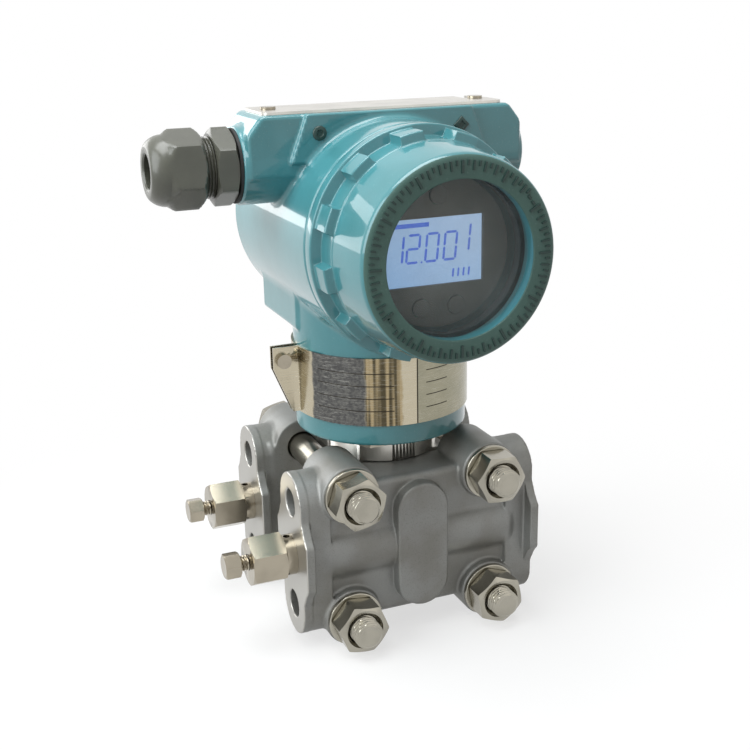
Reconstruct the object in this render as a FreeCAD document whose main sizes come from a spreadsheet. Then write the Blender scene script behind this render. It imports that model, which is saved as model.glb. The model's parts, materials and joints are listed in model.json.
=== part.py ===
import FreeCAD, Part
import math
import os
import re
import Sketcher

# Differential pressure transmitter: two cast process flanges bolted over a sensor cell, and an
# electronics housing with a windowed front cover, a rear cover, a cable gland and a name band.
#
# Frame, millimetres: +Z up along the neck, -Y towards the display, +X towards the process
# connections.  The origin is the middle of the connection face, where a manifold bolts on, so
# the neck axis stands at X = -flange_reach.  Heights are counted from the middle of the flanges.

SIZES = [
    # flanges and their bolts
    ("flange_reach", 47.8, "neck axis to either end face of a flange"),
    ("port_spacing", 54.0, "front to rear process port"),
    ("cell_width", 31.0, "gap between the two flanges, filled by the cell"),
    ("block_depth", 20.5, "flange block, front to back"),
    ("block_height", 55.0, "flange block, top to bottom"),
    ("bolt_gap_wide", 56.4, "flange bolts, left to right"),
    ("bolt_gap_high", 49.8, "flange bolts, top to bottom"),
    ("boss_radius", 11.2, "round boss at each flange bolt"),
    ("boss_rise", 3.6, "boss face above the block face"),
    ("boss_edge", 0.7, "rounded edge of a boss"),
    ("foot_flat", 0.3, "depth of the flat milled under the lower bosses"),
    ("end_bar_width", 11.8, "thickness of the end bars, along X"),
    ("end_edge", 0.5, "rounded edge of the end bars and pads"),
    ("lobe_radius", 11.5, "round top and bottom of the end bars"),
    ("adapter_gap", 41.3, "threaded holes in an end face, top to bottom"),
    ("adapter_hole_radius", 4.95, "threaded hole for an adapter bolt, 7/16 inch"),
    ("bracket_hole_radius", 5.25, "threaded hole for a bracket bolt, fine M12, at the valve end"),
    ("adapter_hole_depth", 12.5, "depth of those holes"),
    ("port_radius", 5.6, "process port"),
    ("port_depth", 17.0, "depth of the port"),
    ("pad_reach", 17.0, "half width of the pad round a port"),
    ("pad_flat", 8.8, "half height of the pad's flat side"),
    ("pad_shoulder", 14.8, "half height of the pad where it meets the bar"),
    ("pad_thickness", 3.6, "pad, along X"),
    ("rib_radius", 12.6, "round rib over the cross passage"),
    ("rib_reach", 39.5, "neck axis to either end of the rib"),
    ("rib_edge", 0.8, "its rounded ends"),
    ("oval_width", 20.6, "raised oval on the flange face"),
    ("oval_height", 50.0, "its height"),
    ("oval_rise", 5.0, "its height above the block face"),
    ("passage_radius", 2.4, "drilled passages in a flange"),
    ("chamber_radius", 16.0, "process chamber in front of a diaphragm"),
    ("chamber_depth", 2.5, "its depth"),
    ("seal_radius", 20.5, "middle of the ring seal round a chamber"),
    ("seal_cord", 2.4, "thickness of that seal"),
    ("bolt_radius", 5.55, "7/16 inch flange bolt"),
    ("bolt_hole_gap", 0.35, "clearance round a flange bolt"),
    ("bolt_tail", 4.9, "bolt end standing out of its nut"),
    ("nut_width", 17.5, "nut and bolt head, across flats"),
    ("nut_thickness", 9.3, "nut, along the bolt"),
    ("nut_bore_gap", 0.03, "fit of a nut on its bolt, drawn as plain cylinders"),
    ("washer_bore_gap", 0.3, "clearance of a washer round its bolt"),
    ("head_thickness", 7.2, "bolt head"),
    ("washer_radius", 10.6, "flange bolt washer"),
    ("washer_thickness", 1.6, "its thickness"),
    # vent valves
    ("valve_width", 17.2, "vent valve hexagon, across flats"),
    ("valve_hexagon_length", 13.2, "its length"),
    ("valve_collar_radius", 7.6, "round collar against the pad"),
    ("valve_collar_length", 4.0, "its length"),
    ("valve_thread_gap", 0.05, "valve thread in its port"),
    ("valve_outlet_radius", 1.3, "cross hole in the collar"),
    ("stem_radius", 3.0, "bleed stem"),
    ("stem_gap", 0.08, "running clearance round the stem"),
    ("stem_neck_length", 3.2, "bare stem between the valve and the stem's head"),
    ("stem_head_width", 8.8, "stem head, across flats"),
    ("stem_head_length", 6.0, "its length"),
    # sensor cell and neck
    ("cell_radius", 30.0, "sensor cell"),
    ("neck_stem_radius", 21.8, "threaded stem of the cell"),
    ("neck_stem_top", 60.0, "height of the stem's top face"),
    ("lock_nut_width", 52.0, "thin neck nut, across flats"),
    ("lock_nut_thickness", 1.8, "its thickness"),
    ("lock_nut_clearance", 0.3, "gap over the flange bosses and under the housing"),
    ("saddle_gap", 0.5, "round stem above the flange blocks"),
    ("diaphragm_recess", 0.6, "recess of each diaphragm"),
    ("neck_seal_cord", 1.85, "ring seal round the neck stem"),
    ("neck_seal_height", 4.0, "its groove, above the housing's lower end"),
    ("header_pin_count", 8, "pins of the header"),
    ("fine_play", 0.05, "play of pieces that slide or turn on each other"),
    ("thread_gap", 0.2, "clearance of a thread drawn as a plain cylinder"),
    ("header_radius", 15.0, "glass header in the stem's top"),
    ("header_depth", 5.0, "its recess"),
    ("header_pin_radius", 0.5, "pins of the header"),
    ("header_pin_length", 6.5, "their length"),
    # housing
    ("barrel_height", 115.3, "height of the barrel's axis"),
    ("conduit_height", 141.3, "height of the conduit axis"),
    ("barrel_radius", 41.3, "barrel, outside"),
    ("barrel_front", 35.4, "barrel's front face, forward of the neck axis"),
    ("barrel_rear", 50.3, "barrel's rear face, behind the neck axis"),
    ("front_bore_radius", 36.2, "front compartment"),
    ("rear_bore_radius", 34.6, "terminal compartment"),
    ("divider_front", 15.0, "wall between the compartments, forward of the neck axis"),
    ("divider_thickness", 3.5, "its thickness"),
    ("neck_radius", 33.45, "housing neck, outside"),
    ("neck_socket_top", 66.0, "height of the end of the threaded socket"),
    ("lead_hole_radius", 3.0, "hole for the sensor leads"),
    ("skirt_width", 69.0, "square skirt behind the neck"),
    ("skirt_rear", 39.0, "its rear face"),
    ("skirt_front", 3.0, "its front face, forward of the neck axis"),
    ("skirt_bottom", 78.6, "height of its underside"),
    ("box_rise", 18.0, "top of the conduit box above the conduit axis"),
    ("box_depth", 29.0, "conduit box, front to back"),
    ("box_edge", 1.2, "rounded edges of the box"),
    ("barrel_edge", 2.4, "rounded rear edge of the barrel"),
    ("box_top_length", 96.0, "length of its top face"),
    ("box_length", 106.6, "its length below the slanted corners"),
    ("box_corner_drop", 6.5, "drop of the slanted corners"),
    ("panel_rise", 1.5, "raised front panel of the box"),
    ("panel_top_width", 64.0, "that panel, at the top"),
    ("panel_bottom_width", 77.0, "and at the bottom"),
    ("panel_height", 17.0, "its height"),
    ("conduit_boss_radius", 14.0, "round conduit bosses"),
    ("conduit_boss_reach", 54.5, "neck axis to the end of a boss"),
    ("conduit_bore_radius", 10.4, "conduit thread"),
    # covers
    ("cover_gap", 0.8, "gap between a cover's rim and the barrel"),
    ("cover_front", 72.9, "front face of the window cover"),
    ("cover_face_radius", 34.9, "edge of the cover's face"),
    ("cover_flank_radius", 36.8, "cover wall where it meets the lugs"),
    ("cover_lug_front", 50.2, "front end of the lugs"),
    ("cover_lug_rear", 41.0, "rear end of the lugs"),
    ("cover_lug_radius", 40.2, "lugs, outside"),
    ("cover_lug_width", 9.2, "lug, across"),
    ("cover_lug_turn", 19.0, "degrees from +Z towards +X to the first lug, where the thread stops"),
    ("lug_count", 12, "lugs round a cover"),
    ("cover_face_edge", 2.6, "rounded edge of the cover's face"),
    ("cover_rim_edge", 0.7, "rounded edge of its rim"),
    ("cover_rim_radius", 41.4, "cover rim"),
    ("cover_skirt_length", 12.0, "threaded skirt inside the barrel"),
    ("cover_bore_radius", 32.2, "inside of the cover"),
    ("window_radius", 26.6, "opening in the cover's face"),
    ("window_lip", 5.3, "thickness of the lip in front of the glass"),
    ("glass_radius", 28.5, "window glass"),
    ("glass_thickness", 5.0, "its thickness"),
    ("gasket_thickness", 0.8, "gasket behind the glass"),
    ("retainer_radius", 30.3, "threaded ring that holds the glass"),
    ("retainer_thickness", 3.4, "its thickness"),
    ("retainer_bore_radius", 26.9, "its bore"),
    ("spanner_slot_width", 3.0, "slots for a spanner in that ring"),
    ("spanner_slot_depth", 1.2, "their depth"),
    ("spanner_slot_height", 4.0, "their height"),
    ("loose_gap", 0.2, "clearance round the glass and its ring"),
    ("cover_seal_cord", 2.2, "ring seal under a cover"),
    ("seal_gap", 0.15, "clearance round that seal"),
    ("rear_cap_radius", 37.4, "rear cover, over its lugs"),
    ("rear_cap_core", 34.8, "rear cover, between its lugs"),
    ("rear_cap_thickness", 8.4, "rear cover, behind the barrel"),
    ("rear_cap_wall", 3.2, "its wall"),
    ("rear_lug_width", 8.0, "lug of the rear cover, across"),
    ("rear_cap_edge", 1.6, "its rounded edge and the height of its rim"),
    # display and electronics
    ("display_front", 54.3, "front of the display bezel"),
    ("bezel_radius", 26.4, "display bezel"),
    ("bezel_wall", 1.2, "its wall"),
    ("bezel_depth", 8.3, "its depth"),
    ("screen_width", 37.6, "visible screen"),
    ("screen_height", 23.2, "visible screen"),
    ("screen_border", 0.8, "screen glass hidden behind the bezel"),
    ("screen_offset", -1.9, "screen centre, left of the barrel axis"),
    ("screen_thickness", 2.6, "screen glass"),
    ("board_thickness", 1.6, "circuit boards"),
    ("display_board_radius", 24.8, "display board"),
    ("main_board_radius", 30.0, "main board"),
    ("main_board_stand", 6.0, "main board above the divider"),
    ("post_radius", 2.5, "board posts"),
    ("post_circle", 21.0, "radius of the circle of posts"),
    ("screw_radius", 1.5, "small screws"),
    ("screw_head_radius", 2.8, "their heads"),
    ("screw_head_height", 1.9, "their heads"),
    ("key_radius", 3.1, "display key"),
    ("key_length", 4.2, "display key"),
    ("key_proud", 0.5, "key in front of the bezel"),
    ("key_gap", 0.3, "clearance round a key"),
    ("key_spread", 6.6, "lower keys, each side of the middle"),
    ("key_circle", 19.2, "keys, from the barrel axis"),
    ("terminal_radius", 31.0, "terminal block"),
    ("terminal_front", 12.0, "its front face, behind the neck axis"),
    ("terminal_thickness", 13.0, "its thickness"),
    ("terminal_pitch", 11.0, "terminal screws, apart"),
    ("terminal_tray_height", 12.0, "tray of the terminal screws"),
    ("clamp_width", 8.6, "terminal clamp"),
    ("clamp_height", 9.0, "its height"),
    ("clamp_thickness", 1.2, "its thickness"),
    ("ground_screw_height", 14.0, "ground screw, above the barrel axis"),
    ("ground_screw_length", 2.0, "its shank"),
    ("terminal_leg_radius", 4.0, "legs of the terminal block"),
    ("terminal_leg_spread", 22.0, "legs, each side of the middle"),
    # top plate and adjusters
    ("plate_length", 93.0, "top plate"),
    ("plate_depth", 25.0, "top plate, front to back"),
    ("plate_thickness", 1.0, "top plate"),
    ("plate_slot_slack", 1.2, "slot wider towards the pivot, for the arc the plate swings on"),
    ("plate_screw_spread", 41.0, "plate screws, each side of the neck axis"),
    ("adjuster_spread", 27.0, "adjusters, each side of the neck axis"),
    ("adjuster_radius", 3.8, "adjuster plunger"),
    ("adjuster_length", 5.2, "adjuster plunger"),
    ("adjuster_depth", 6.6, "depth of an adjuster bore"),
    ("adjuster_gap", 0.15, "clearance round an adjuster"),
    ("adjuster_drop", 0.4, "adjuster below the box's top"),
    ("adjuster_slit_width", 1.0, "screwdriver slit of an adjuster"),
    ("adjuster_slit_depth", 0.8, "its depth"),
    ("plate_screw_depth", 5.5, "plate screw in the box"),
    ("plate_screw_head", 0.9, "low head of a plate screw"),
    ("plate_screw_hole_depth", 6.0, "its hole"),
    ("plate_slot_gap", 0.3, "clearance of the slot round the other screw"),
    # cable gland
    ("gland_washer_radius", 13.3, "sealing washer"),
    ("gland_washer_thickness", 1.0, "sealing washer"),
    ("gland_hex_width", 24.4, "gland body, across flats"),
    ("gland_hex_length", 8.0, "gland body's hexagon"),
    ("gland_nose_radius", 11.0, "thread under the dome nut"),
    ("gland_nose_length", 10.5, "thread under the dome nut"),
    ("gland_stub_length", 12.0, "thread in the conduit"),
    ("gland_bore_radius", 6.8, "bore of the gland body"),
    ("dome_nut_width", 24.8, "dome nut, across flats"),
    ("dome_nut_start", 3.4, "dome nut beyond the gland's hexagon"),
    ("dome_nut_length", 19.1, "dome nut"),
    ("dome_length", 6.0, "rounded end of the dome nut"),
    ("dome_edge", 2.2, "rounding between the dome and its flat end"),
    ("dome_nut_bevel", 1.2, "corners turned off at the other end"),
    ("dome_wall", 2.7, "its end wall"),
    ("gland_seal_gap", 0.3, "clearance at each end of the rubber insert"),
    ("dome_face_radius", 8.6, "flat end of the dome nut"),
    ("cable_hole_radius", 6.2, "hole in the dome nut"),
    ("gland_seal_radius", 9.3, "rubber insert"),
    ("gland_seal_length", 14.6, "rubber insert"),
    ("cable_bore_radius", 5.4, "bore of the rubber insert"),
    ("plug_length", 9.5, "blanking plug in the other conduit"),
    ("plug_recess", 0.6, "plug below the boss's end"),
    ("plug_fit", 0.02, "plug thread in its boss"),
    ("plug_socket_width", 9.5, "hexagon socket in the plug"),
    ("plug_socket_depth", 5.7, "its depth"),
    # name band
    ("band_bottom", 46.65, "height of the band's lower edge"),
    ("band_height", 26.0, "band"),
    ("band_thickness", 0.8, "band"),
    ("band_seat", 0.05, "band above the neck"),
    ("band_ear_reach", 9.6, "ear, outwards from the band"),
    ("band_ear_cut", 17.5, "height of the slanted lower corner of an ear"),
    ("band_ear_gap", 2.4, "gap between the two ears"),
    ("band_screw_radius", 1.5, "clamp screw"),
    ("band_screw_end", 3.0, "screw end beyond the ears"),
    ("band_nut_radius", 2.85, "clamp nut"),
    ("band_nut_thickness", 2.0, "its thickness"),
    ("band_screw_height", 5.2, "clamp screw, below the band's upper edge"),
]

document = FreeCAD.newDocument("PressureTransmitter")
sheet = document.addObject("Spreadsheet::Sheet", "Sizes")
for row, (alias, size, meaning) in enumerate(SIZES, start=1):
    sheet.set(f"A{row}", meaning)
    sheet.set(f"B{row}", str(size))
    sheet.setAlias(f"B{row}", alias)
document.recompute()
NAMES = {alias for alias, _, _ in SIZES}
TURN_Z = FreeCAD.Rotation(FreeCAD.Vector(0, 0, 1), 180)
TURNS = {"X": FreeCAD.Rotation(FreeCAD.Vector(0, 1, 0), 90),
         "Y": FreeCAD.Rotation(FreeCAD.Vector(1, 0, 0), -90),
         "Z": FreeCAD.Rotation()}
AXES = {"XY_Plane": "Z", "XZ_Plane": "Y", "YZ_Plane": "X"}
parts = []


def formula(text):
    """The expression with each size written as a reference to the sheet."""
    return re.sub(r"[a-z_]+", lambda m: f"Sizes.{m[0]}" if m[0] in NAMES else m[0], text)


def size(text):
    """The number that an expression gives now."""
    return float(sheet.evalExpression(formula(text)))


def bind(thing, name, text):
    """Sets a property and, where the text names a size, binds it to the sheet."""
    if any(word in NAMES for word in re.findall(r"[a-z_]+", text)):
        thing.setExpression(name, formula(text))


def place(thing, x="0", y="0", z="0"):
    for letter, text in zip("xyz", (x, y, z)):
        shift(thing, letter, size(text))
        bind(thing, f"Placement.Base.{letter}", text)


def shift(thing, letter, number):
    placement = thing.Placement
    setattr(placement.Base, letter, number)
    thing.Placement = placement


def new_body(label, y="0", z="0", x="-flange_reach"):
    """A PartDesign body that is a piece of its own; its frame stands on the neck axis."""
    body = document.addObject("PartDesign::Body", label)
    body.Label = label
    place(body, x, y, z)
    parts.append(body)
    return body


def origin(body, role):
    return next(item for item in body.Origin.OriginFeatures if item.Role == role)


def sketch_on(body, plane, height="0"):
    """A sketch parallel to an origin plane, at a height along the axis the plane faces."""
    sketch = body.newObject("Sketcher::SketchObject", f"{body.Name}_outline")
    sketch.AttachmentSupport = [(origin(body, plane), "")]
    sketch.MapMode = "FlatFace"
    away = f"-({height})" if plane == "XZ_Plane" else height
    sketch.AttachmentOffset = FreeCAD.Placement(FreeCAD.Vector(0, 0, size(away)), FreeCAD.Rotation())
    bind(sketch, "AttachmentOffset.Base.z", away)
    return sketch


def hold(sketch, kind, first, where, text):
    """A dimension from the sketch's origin to a point, bound to the sheet."""
    index = sketch.addConstraint(Sketcher.Constraint(kind, -1, 1, first, where, size(text)))
    bind(sketch, f"Constraints[{index}]", text)


def polygon(sketch, corners):
    """A closed outline through corners, each a pair of expressions."""
    points = [FreeCAD.Vector(size(a), size(b), 0) for a, b in corners]
    first = sketch.GeometryCount
    count = len(points)
    for i in range(count):
        sketch.addGeometry(Part.LineSegment(points[i], points[(i + 1) % count]), False)
    for i in range(count):
        joint = ("Coincident", first + i, 2, first + (i + 1) % count, 1)
        sketch.addConstraint(Sketcher.Constraint(*joint))
    for i, (a, b) in enumerate(corners):
        hold(sketch, "DistanceX", first + i, 1, a)
        hold(sketch, "DistanceY", first + i, 1, b)


def circle(sketch, a, b, radius):
    middle = FreeCAD.Vector(size(a), size(b), 0)
    facing = FreeCAD.Vector(0, 0, 1)
    index = sketch.addGeometry(Part.Circle(middle, facing, size(radius)), False)
    hold(sketch, "DistanceX", index, 3, a)
    hold(sketch, "DistanceY", index, 3, b)
    round_size = sketch.addConstraint(Sketcher.Constraint("Radius", index, size(radius)))
    bind(sketch, f"Constraints[{round_size}]", radius)


def rectangle(sketch, left, right, low, high):
    polygon(sketch, [(left, low), (right, low), (right, high), (left, high)])


def hexagon(sketch, a, b, width):
    """A hexagon by its width across flats, with a corner on the sketch's x axis."""
    corners = []
    for i in range(6):
        angle = math.radians(60 * i)
        along = f"({a}) + ({width}) * {math.cos(angle) / math.sqrt(3):.9f}"
        across = f"({b}) + ({width}) * {math.sin(angle) / math.sqrt(3):.9f}"
        corners.append((along, across))
    polygon(sketch, corners)


def slot(sketch, a, half_gap, radius):
    """An upright stadium: two arcs half_gap above and below the sketch's x axis."""
    x, up, r = size(a), size(half_gap), size(radius)
    facing = FreeCAD.Vector(0, 0, 1)
    first = sketch.GeometryCount
    upper = Part.Circle(FreeCAD.Vector(x, up, 0), facing, r)
    lower = Part.Circle(FreeCAD.Vector(x, -up, 0), facing, r)
    sketch.addGeometry(Part.ArcOfCircle(upper, 0, math.pi), False)
    sketch.addGeometry(Part.LineSegment(FreeCAD.Vector(x - r, up, 0), FreeCAD.Vector(x - r, -up, 0)), False)
    sketch.addGeometry(Part.ArcOfCircle(lower, math.pi, 2 * math.pi), False)
    sketch.addGeometry(Part.LineSegment(FreeCAD.Vector(x + r, -up, 0), FreeCAD.Vector(x + r, up, 0)), False)
    ends = [(first, 2, first + 1, 1), (first + 1, 2, first + 2, 1),
            (first + 2, 2, first + 3, 1), (first + 3, 2, first, 1)]
    for end in ends:
        sketch.addConstraint(Sketcher.Constraint("Tangent", *end))
    hold(sketch, "DistanceX", first, 3, a)
    hold(sketch, "DistanceY", first, 3, half_gap)
    hold(sketch, "DistanceY", first + 2, 3, f"-({half_gap})")
    round_size = sketch.addConstraint(Sketcher.Constraint("Radius", first, r))
    bind(sketch, f"Constraints[{round_size}]", radius)


def check_change(body, feature, before):
    """A cut that points away from the solid removes nothing, so the volume is compared."""
    document.recompute()
    if abs(feature.Shape.Volume - before) < 1e-6:
        raise RuntimeError(f"{body.Label}: {feature.Name} changes nothing")


def volume(body):
    document.recompute()
    return body.Shape.Volume if body.Tip else 0.0


def extrude(body, plane, low, high, draw, cut=False):
    """Pads or pockets a drawn outline between two heights along the axis that the plane faces."""
    before = volume(body)
    sketch = sketch_on(body, plane, high if plane == "XZ_Plane" else low)
    draw(sketch)
    kind = "PartDesign::Pocket" if cut else "PartDesign::Pad"
    feature = body.newObject(kind, f"{body.Name}_{'pocket' if cut else 'pad'}")
    feature.Profile = sketch
    feature.Length = size(f"({high}) - ({low})")
    bind(feature, "Length", f"({high}) - ({low})")
    feature.Reversed = cut
    sketch.Visibility = False
    check_change(body, feature, before)
    return feature


def revolve(body, axis, corners, cut=False):
    """Turns an outline of (along the axis, radius) corners about a body axis."""
    before = volume(body)
    sketch = sketch_on(body, "YZ_Plane" if axis == "Y_Axis" else "XZ_Plane")
    if axis == "Z_Axis":
        corners = [(radius, along) for along, radius in corners]
    polygon(sketch, corners)
    kind = "PartDesign::Groove" if cut else "PartDesign::Revolution"
    feature = body.newObject(kind, f"{body.Name}_{'groove' if cut else 'turned'}")
    feature.Profile = sketch
    feature.ReferenceAxis = (origin(body, axis), [""])
    feature.Angle = 360
    check_change(body, feature, before)
    return feature


def repeat_round(body, feature, axis, count):
    pattern = body.newObject("PartDesign::PolarPattern", f"{body.Name}_round")
    pattern.Originals = [feature]
    pattern.Axis = (origin(body, axis), [""])
    pattern.Angle = 360
    pattern.Occurrences = int(size(count))
    bind(pattern, "Occurrences", count)
    body.Tip = pattern
    document.recompute()
    return pattern


def repeat_rows(body, features, rows):
    """Repeats features along one or two body axes; rows are (axis, distance) pairs."""
    pattern = body.newObject("PartDesign::MultiTransform", f"{body.Name}_rows")
    pattern.Originals = features
    steps = []
    for axis, distance in rows:
        step = body.newObject("PartDesign::LinearPattern", f"{body.Name}_row")
        step.Direction = (origin(body, axis), [""])
        step.Length = size(distance)
        bind(step, "Length", distance)
        step.Occurrences = 2
        steps.append(step)
    pattern.Transformations = steps
    body.Tip = pattern
    document.recompute()
    return pattern


def soften(body, radius, wanted, bevel=False):
    """Fillets, or bevels, the edges of the body that the test picks."""
    document.recompute()
    base = body.Tip
    names = [f"Edge{i}" for i, edge in enumerate(base.Shape.Edges, start=1) if wanted(edge)]
    if not names:
        raise RuntimeError(f"{body.Label}: no edge to soften")
    feature = body.newObject("PartDesign::Chamfer" if bevel else "PartDesign::Fillet",
                             f"{body.Name}_edges")
    feature.Base = (base, names)
    feature.setExpression("Size" if bevel else "Radius", formula(radius))
    document.recompute()
    return feature


def ring_at(axis, along, radius):
    """A test for full circles about a body axis, at one place along it."""
    def wanted(edge):
        if not isinstance(edge.Curve, Part.Circle):
            return False
        facing = abs(getattr(edge.Curve.Axis, axis.lower()))
        here = getattr(edge.Curve.Center, axis.lower())
        near = abs(here - size(along)) < 0.01 and abs(edge.Curve.Radius - size(radius)) < 0.01
        return facing > 0.999 and near
    return wanted


def around(count, radius, start=90):
    """Offsets evenly round an axis, each a pair of expressions."""
    turns = [math.radians(start + 360 * i / count) for i in range(count)]
    return [(f"{radius} * {math.cos(a):.9f}", f"{radius} * {math.sin(a):.9f}") for a in turns]


def solid(kind, name, **sizes):
    """A Part primitive with its sizes bound to the sheet."""
    thing = document.addObject(f"Part::{kind}", name)
    for key, text in sizes.items():
        setattr(thing, key, size(text))
        bind(thing, key, text)
    return thing


def rod(name, radius, length, along, x="-flange_reach", y="0", z="0"):
    """A cylinder that starts at a point and runs along +X, +Y or +Z."""
    thing = solid("Cylinder", name, Radius=radius, Height=length)
    thing.Placement.Rotation = TURNS[along]
    place(thing, x, y, z)
    return thing


def block(name, length, depth, height, x, y, z):
    """A box by its three sizes and its lowest corner."""
    thing = solid("Box", name, Length=length, Width=depth, Height=height)
    place(thing, x, y, z)
    return thing


def ring_seal(name, circle_radius, cord, along, x="-flange_reach", y="0", z="0"):
    thing = solid("Torus", name, Radius1=circle_radius, Radius2=f"({cord}) / 2")
    thing.Placement.Rotation = TURNS[along]
    place(thing, x, y, z)
    return thing


def cut_out(name, base, *tools):
    for tool in tools:
        thing = document.addObject("Part::Cut", f"{name}_cut")
        thing.Base = base
        thing.Tool = tool
        base = thing
    return base


def join(name, *things):
    thing = document.addObject("Part::MultiFuse", f"{name}_joined")
    thing.Shapes = list(things)
    return thing


def keep(label, thing):
    """Names a finished piece."""
    thing.Label = label
    parts.append(thing)
    return thing


def group(label, things):
    """Identical loose pieces, kept as separate solids of one piece."""
    thing = document.addObject("Part::Compound", f"{label}_group")
    thing.Links = list(things)
    return keep(label, thing)


# --- process side -------------------------------------------------------------------------

INNER = "cell_width / 2"
BLOCK_FACE = "cell_width / 2 + block_depth"
BOSS_FACE = f"{BLOCK_FACE} + boss_rise"
PORT = "port_spacing / 2"
FOOT = "-(bolt_gap_high / 2 + boss_radius - foot_flat)"
BOSS_TOP = "bolt_gap_high / 2 + boss_radius"
NUT_BOTTOM = f"{BOSS_TOP} + lock_nut_clearance"
NUT_TOP = f"{NUT_BOTTOM} + lock_nut_thickness"
NECK_BOTTOM = f"{NUT_TOP} + lock_nut_clearance"
NECK_GROOVE = f"{NECK_BOTTOM} + neck_seal_height"
BOX_TOP = "conduit_height + box_rise"


def flange(label, turned):
    """A cast process flange.  It is drawn as the front one; the rear one is turned half round."""
    body = new_body(label)
    if turned:
        body.Placement.Rotation = TURN_Z
    extrude(body, "XZ_Plane", f"-({BLOCK_FACE})", f"-({INNER})", lambda s: rectangle(
        s, "-flange_reach + end_bar_width / 2", "flange_reach - end_bar_width / 2",
        "-block_height / 2", "block_height / 2"))
    soften(body, "boss_rise", lambda e: e.BoundBox.YLength < 0.01 and e.BoundBox.ZLength < 0.01
           and e.BoundBox.YMin < -size(INNER) - 1)
    boss = extrude(body, "XZ_Plane", f"-({BOSS_FACE})", f"-({INNER})", lambda s: circle(
        s, "-bolt_gap_wide / 2", "-bolt_gap_high / 2", "boss_radius"))
    repeat_rows(body, [boss], [("X_Axis", "bolt_gap_wide"), ("Z_Axis", "bolt_gap_high")])
    boss_face, boss_round = size(f"-({BOSS_FACE})"), size("boss_radius")
    soften(body, "boss_edge", lambda e: isinstance(e.Curve, Part.Circle)
           and abs(e.Curve.Radius - boss_round) < 0.01
           and abs(e.BoundBox.YMin - boss_face) < 0.01 and e.BoundBox.YLength < 0.01)
    bar = extrude(body, "YZ_Plane", "-flange_reach", "-flange_reach + end_bar_width", lambda s: slot(
        s, f"-({PORT})", "adapter_gap / 2", "lobe_radius"))
    pad = extrude(body, "YZ_Plane", "-flange_reach", "-flange_reach + pad_thickness", lambda s: polygon(
        s, [(f"-({PORT}) + {i} * pad_reach", f"{j} * pad_flat") if flat else
            (f"-({PORT}) + {i} * lobe_radius", f"{j} * pad_shoulder")
            for i, j, flat in ((1, -1, True), (1, 1, True), (1, 1, False), (-1, 1, False),
                               (-1, 1, True), (-1, -1, True), (-1, -1, False), (1, -1, False))]))
    for feature, reach in ((bar, "2 * flange_reach - end_bar_width"),
                           (pad, "2 * flange_reach - pad_thickness")):
        repeat_rows(body, [feature], [("X_Axis", reach)])
    end = size("flange_reach")
    soften(body, "end_edge", lambda e: e.BoundBox.XLength < 0.01 and abs(abs(e.BoundBox.XMin) - end) < 0.01)
    extrude(body, "YZ_Plane", "-rib_reach", "rib_reach", lambda s: circle(
        s, f"-({PORT})", "0", "rib_radius"))
    rib_end, rib_round = size("rib_reach"), size("rib_radius")
    soften(body, "rib_edge", lambda e: isinstance(e.Curve, Part.Circle)
           and abs(e.Curve.Radius - rib_round) < 0.01 and e.BoundBox.XLength < 0.01
           and abs(abs(e.BoundBox.XMin) - rib_end) < 0.01)
    between_pads = "flange_reach - pad_thickness"
    extrude(body, "XZ_Plane", f"-({INNER})", "0", lambda s: rectangle(
        s, f"-({between_pads})", between_pads, "-block_height / 2", "block_height / 2"), cut=True)
    extrude(body, "XZ_Plane", f"-({BLOCK_FACE} + oval_rise)", f"-({INNER} + 1)", lambda s: slot(
        s, "0", "oval_height / 2 - oval_width / 2", "oval_width / 2"))
    front = size(f"-({BLOCK_FACE} + oval_rise)")
    soften(body, "oval_rise / 3", lambda e: e.BoundBox.YLength < 0.01
           and abs(e.BoundBox.YMin - front) < 0.01 and abs(e.BoundBox.XMax) < 11)
    extrude(body, "XY_Plane", f"{FOOT} - 2", FOOT, lambda s: rectangle(
        s, "-flange_reach", "flange_reach", f"-({BOSS_FACE})", "0"), cut=True)
    hole = extrude(body, "XZ_Plane", f"-({BOSS_FACE})", f"-({INNER})", lambda s: circle(
        s, "-bolt_gap_wide / 2", "-bolt_gap_high / 2", "bolt_radius + bolt_hole_gap"), cut=True)
    repeat_rows(body, [hole], [("X_Axis", "bolt_gap_wide"), ("Z_Axis", "bolt_gap_high")])
    radii = ["bracket_hole_radius", "adapter_hole_radius"]
    ends = [("-flange_reach", "-flange_reach + adapter_hole_depth"),
            ("flange_reach - adapter_hole_depth", "flange_reach")]
    for radius, (low, high) in zip(radii[::-1] if turned else radii, ends):
        bolt_hole = extrude(body, "YZ_Plane", low, high, lambda s: circle(
            s, f"-({PORT})", "-adapter_gap / 2", radius), cut=True)
        repeat_rows(body, [bolt_hole], [("Z_Axis", "adapter_gap")])
    port = extrude(body, "YZ_Plane", "-flange_reach", "-flange_reach + port_depth",
                   lambda s: circle(s, f"-({PORT})", "0", "port_radius"), cut=True)
    repeat_rows(body, [port], [("X_Axis", "2 * flange_reach - port_depth")])
    extrude(body, "YZ_Plane", "-flange_reach", "flange_reach", lambda s: circle(
        s, f"-({PORT})", "0", "passage_radius"), cut=True)
    extrude(body, "XZ_Plane", f"-({PORT})", f"-({INNER})", lambda s: circle(
        s, "0", "0", "passage_radius"), cut=True)
    extrude(body, "XZ_Plane", f"-({INNER} + chamber_depth)", f"-({INNER})", lambda s: circle(
        s, "0", "0", "chamber_radius"), cut=True)
    groove_floor = f"-({INNER} + seal_cord * 0.85)"
    revolve(body, "Y_Axis", [(groove_floor, "seal_radius - seal_cord * 0.6"),
                             (f"-({INNER})", "seal_radius - seal_cord * 0.6"),
                             (f"-({INNER})", "seal_radius + seal_cord * 0.6"),
                             (groove_floor, "seal_radius + seal_cord * 0.6")], cut=True)
    return body


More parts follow.
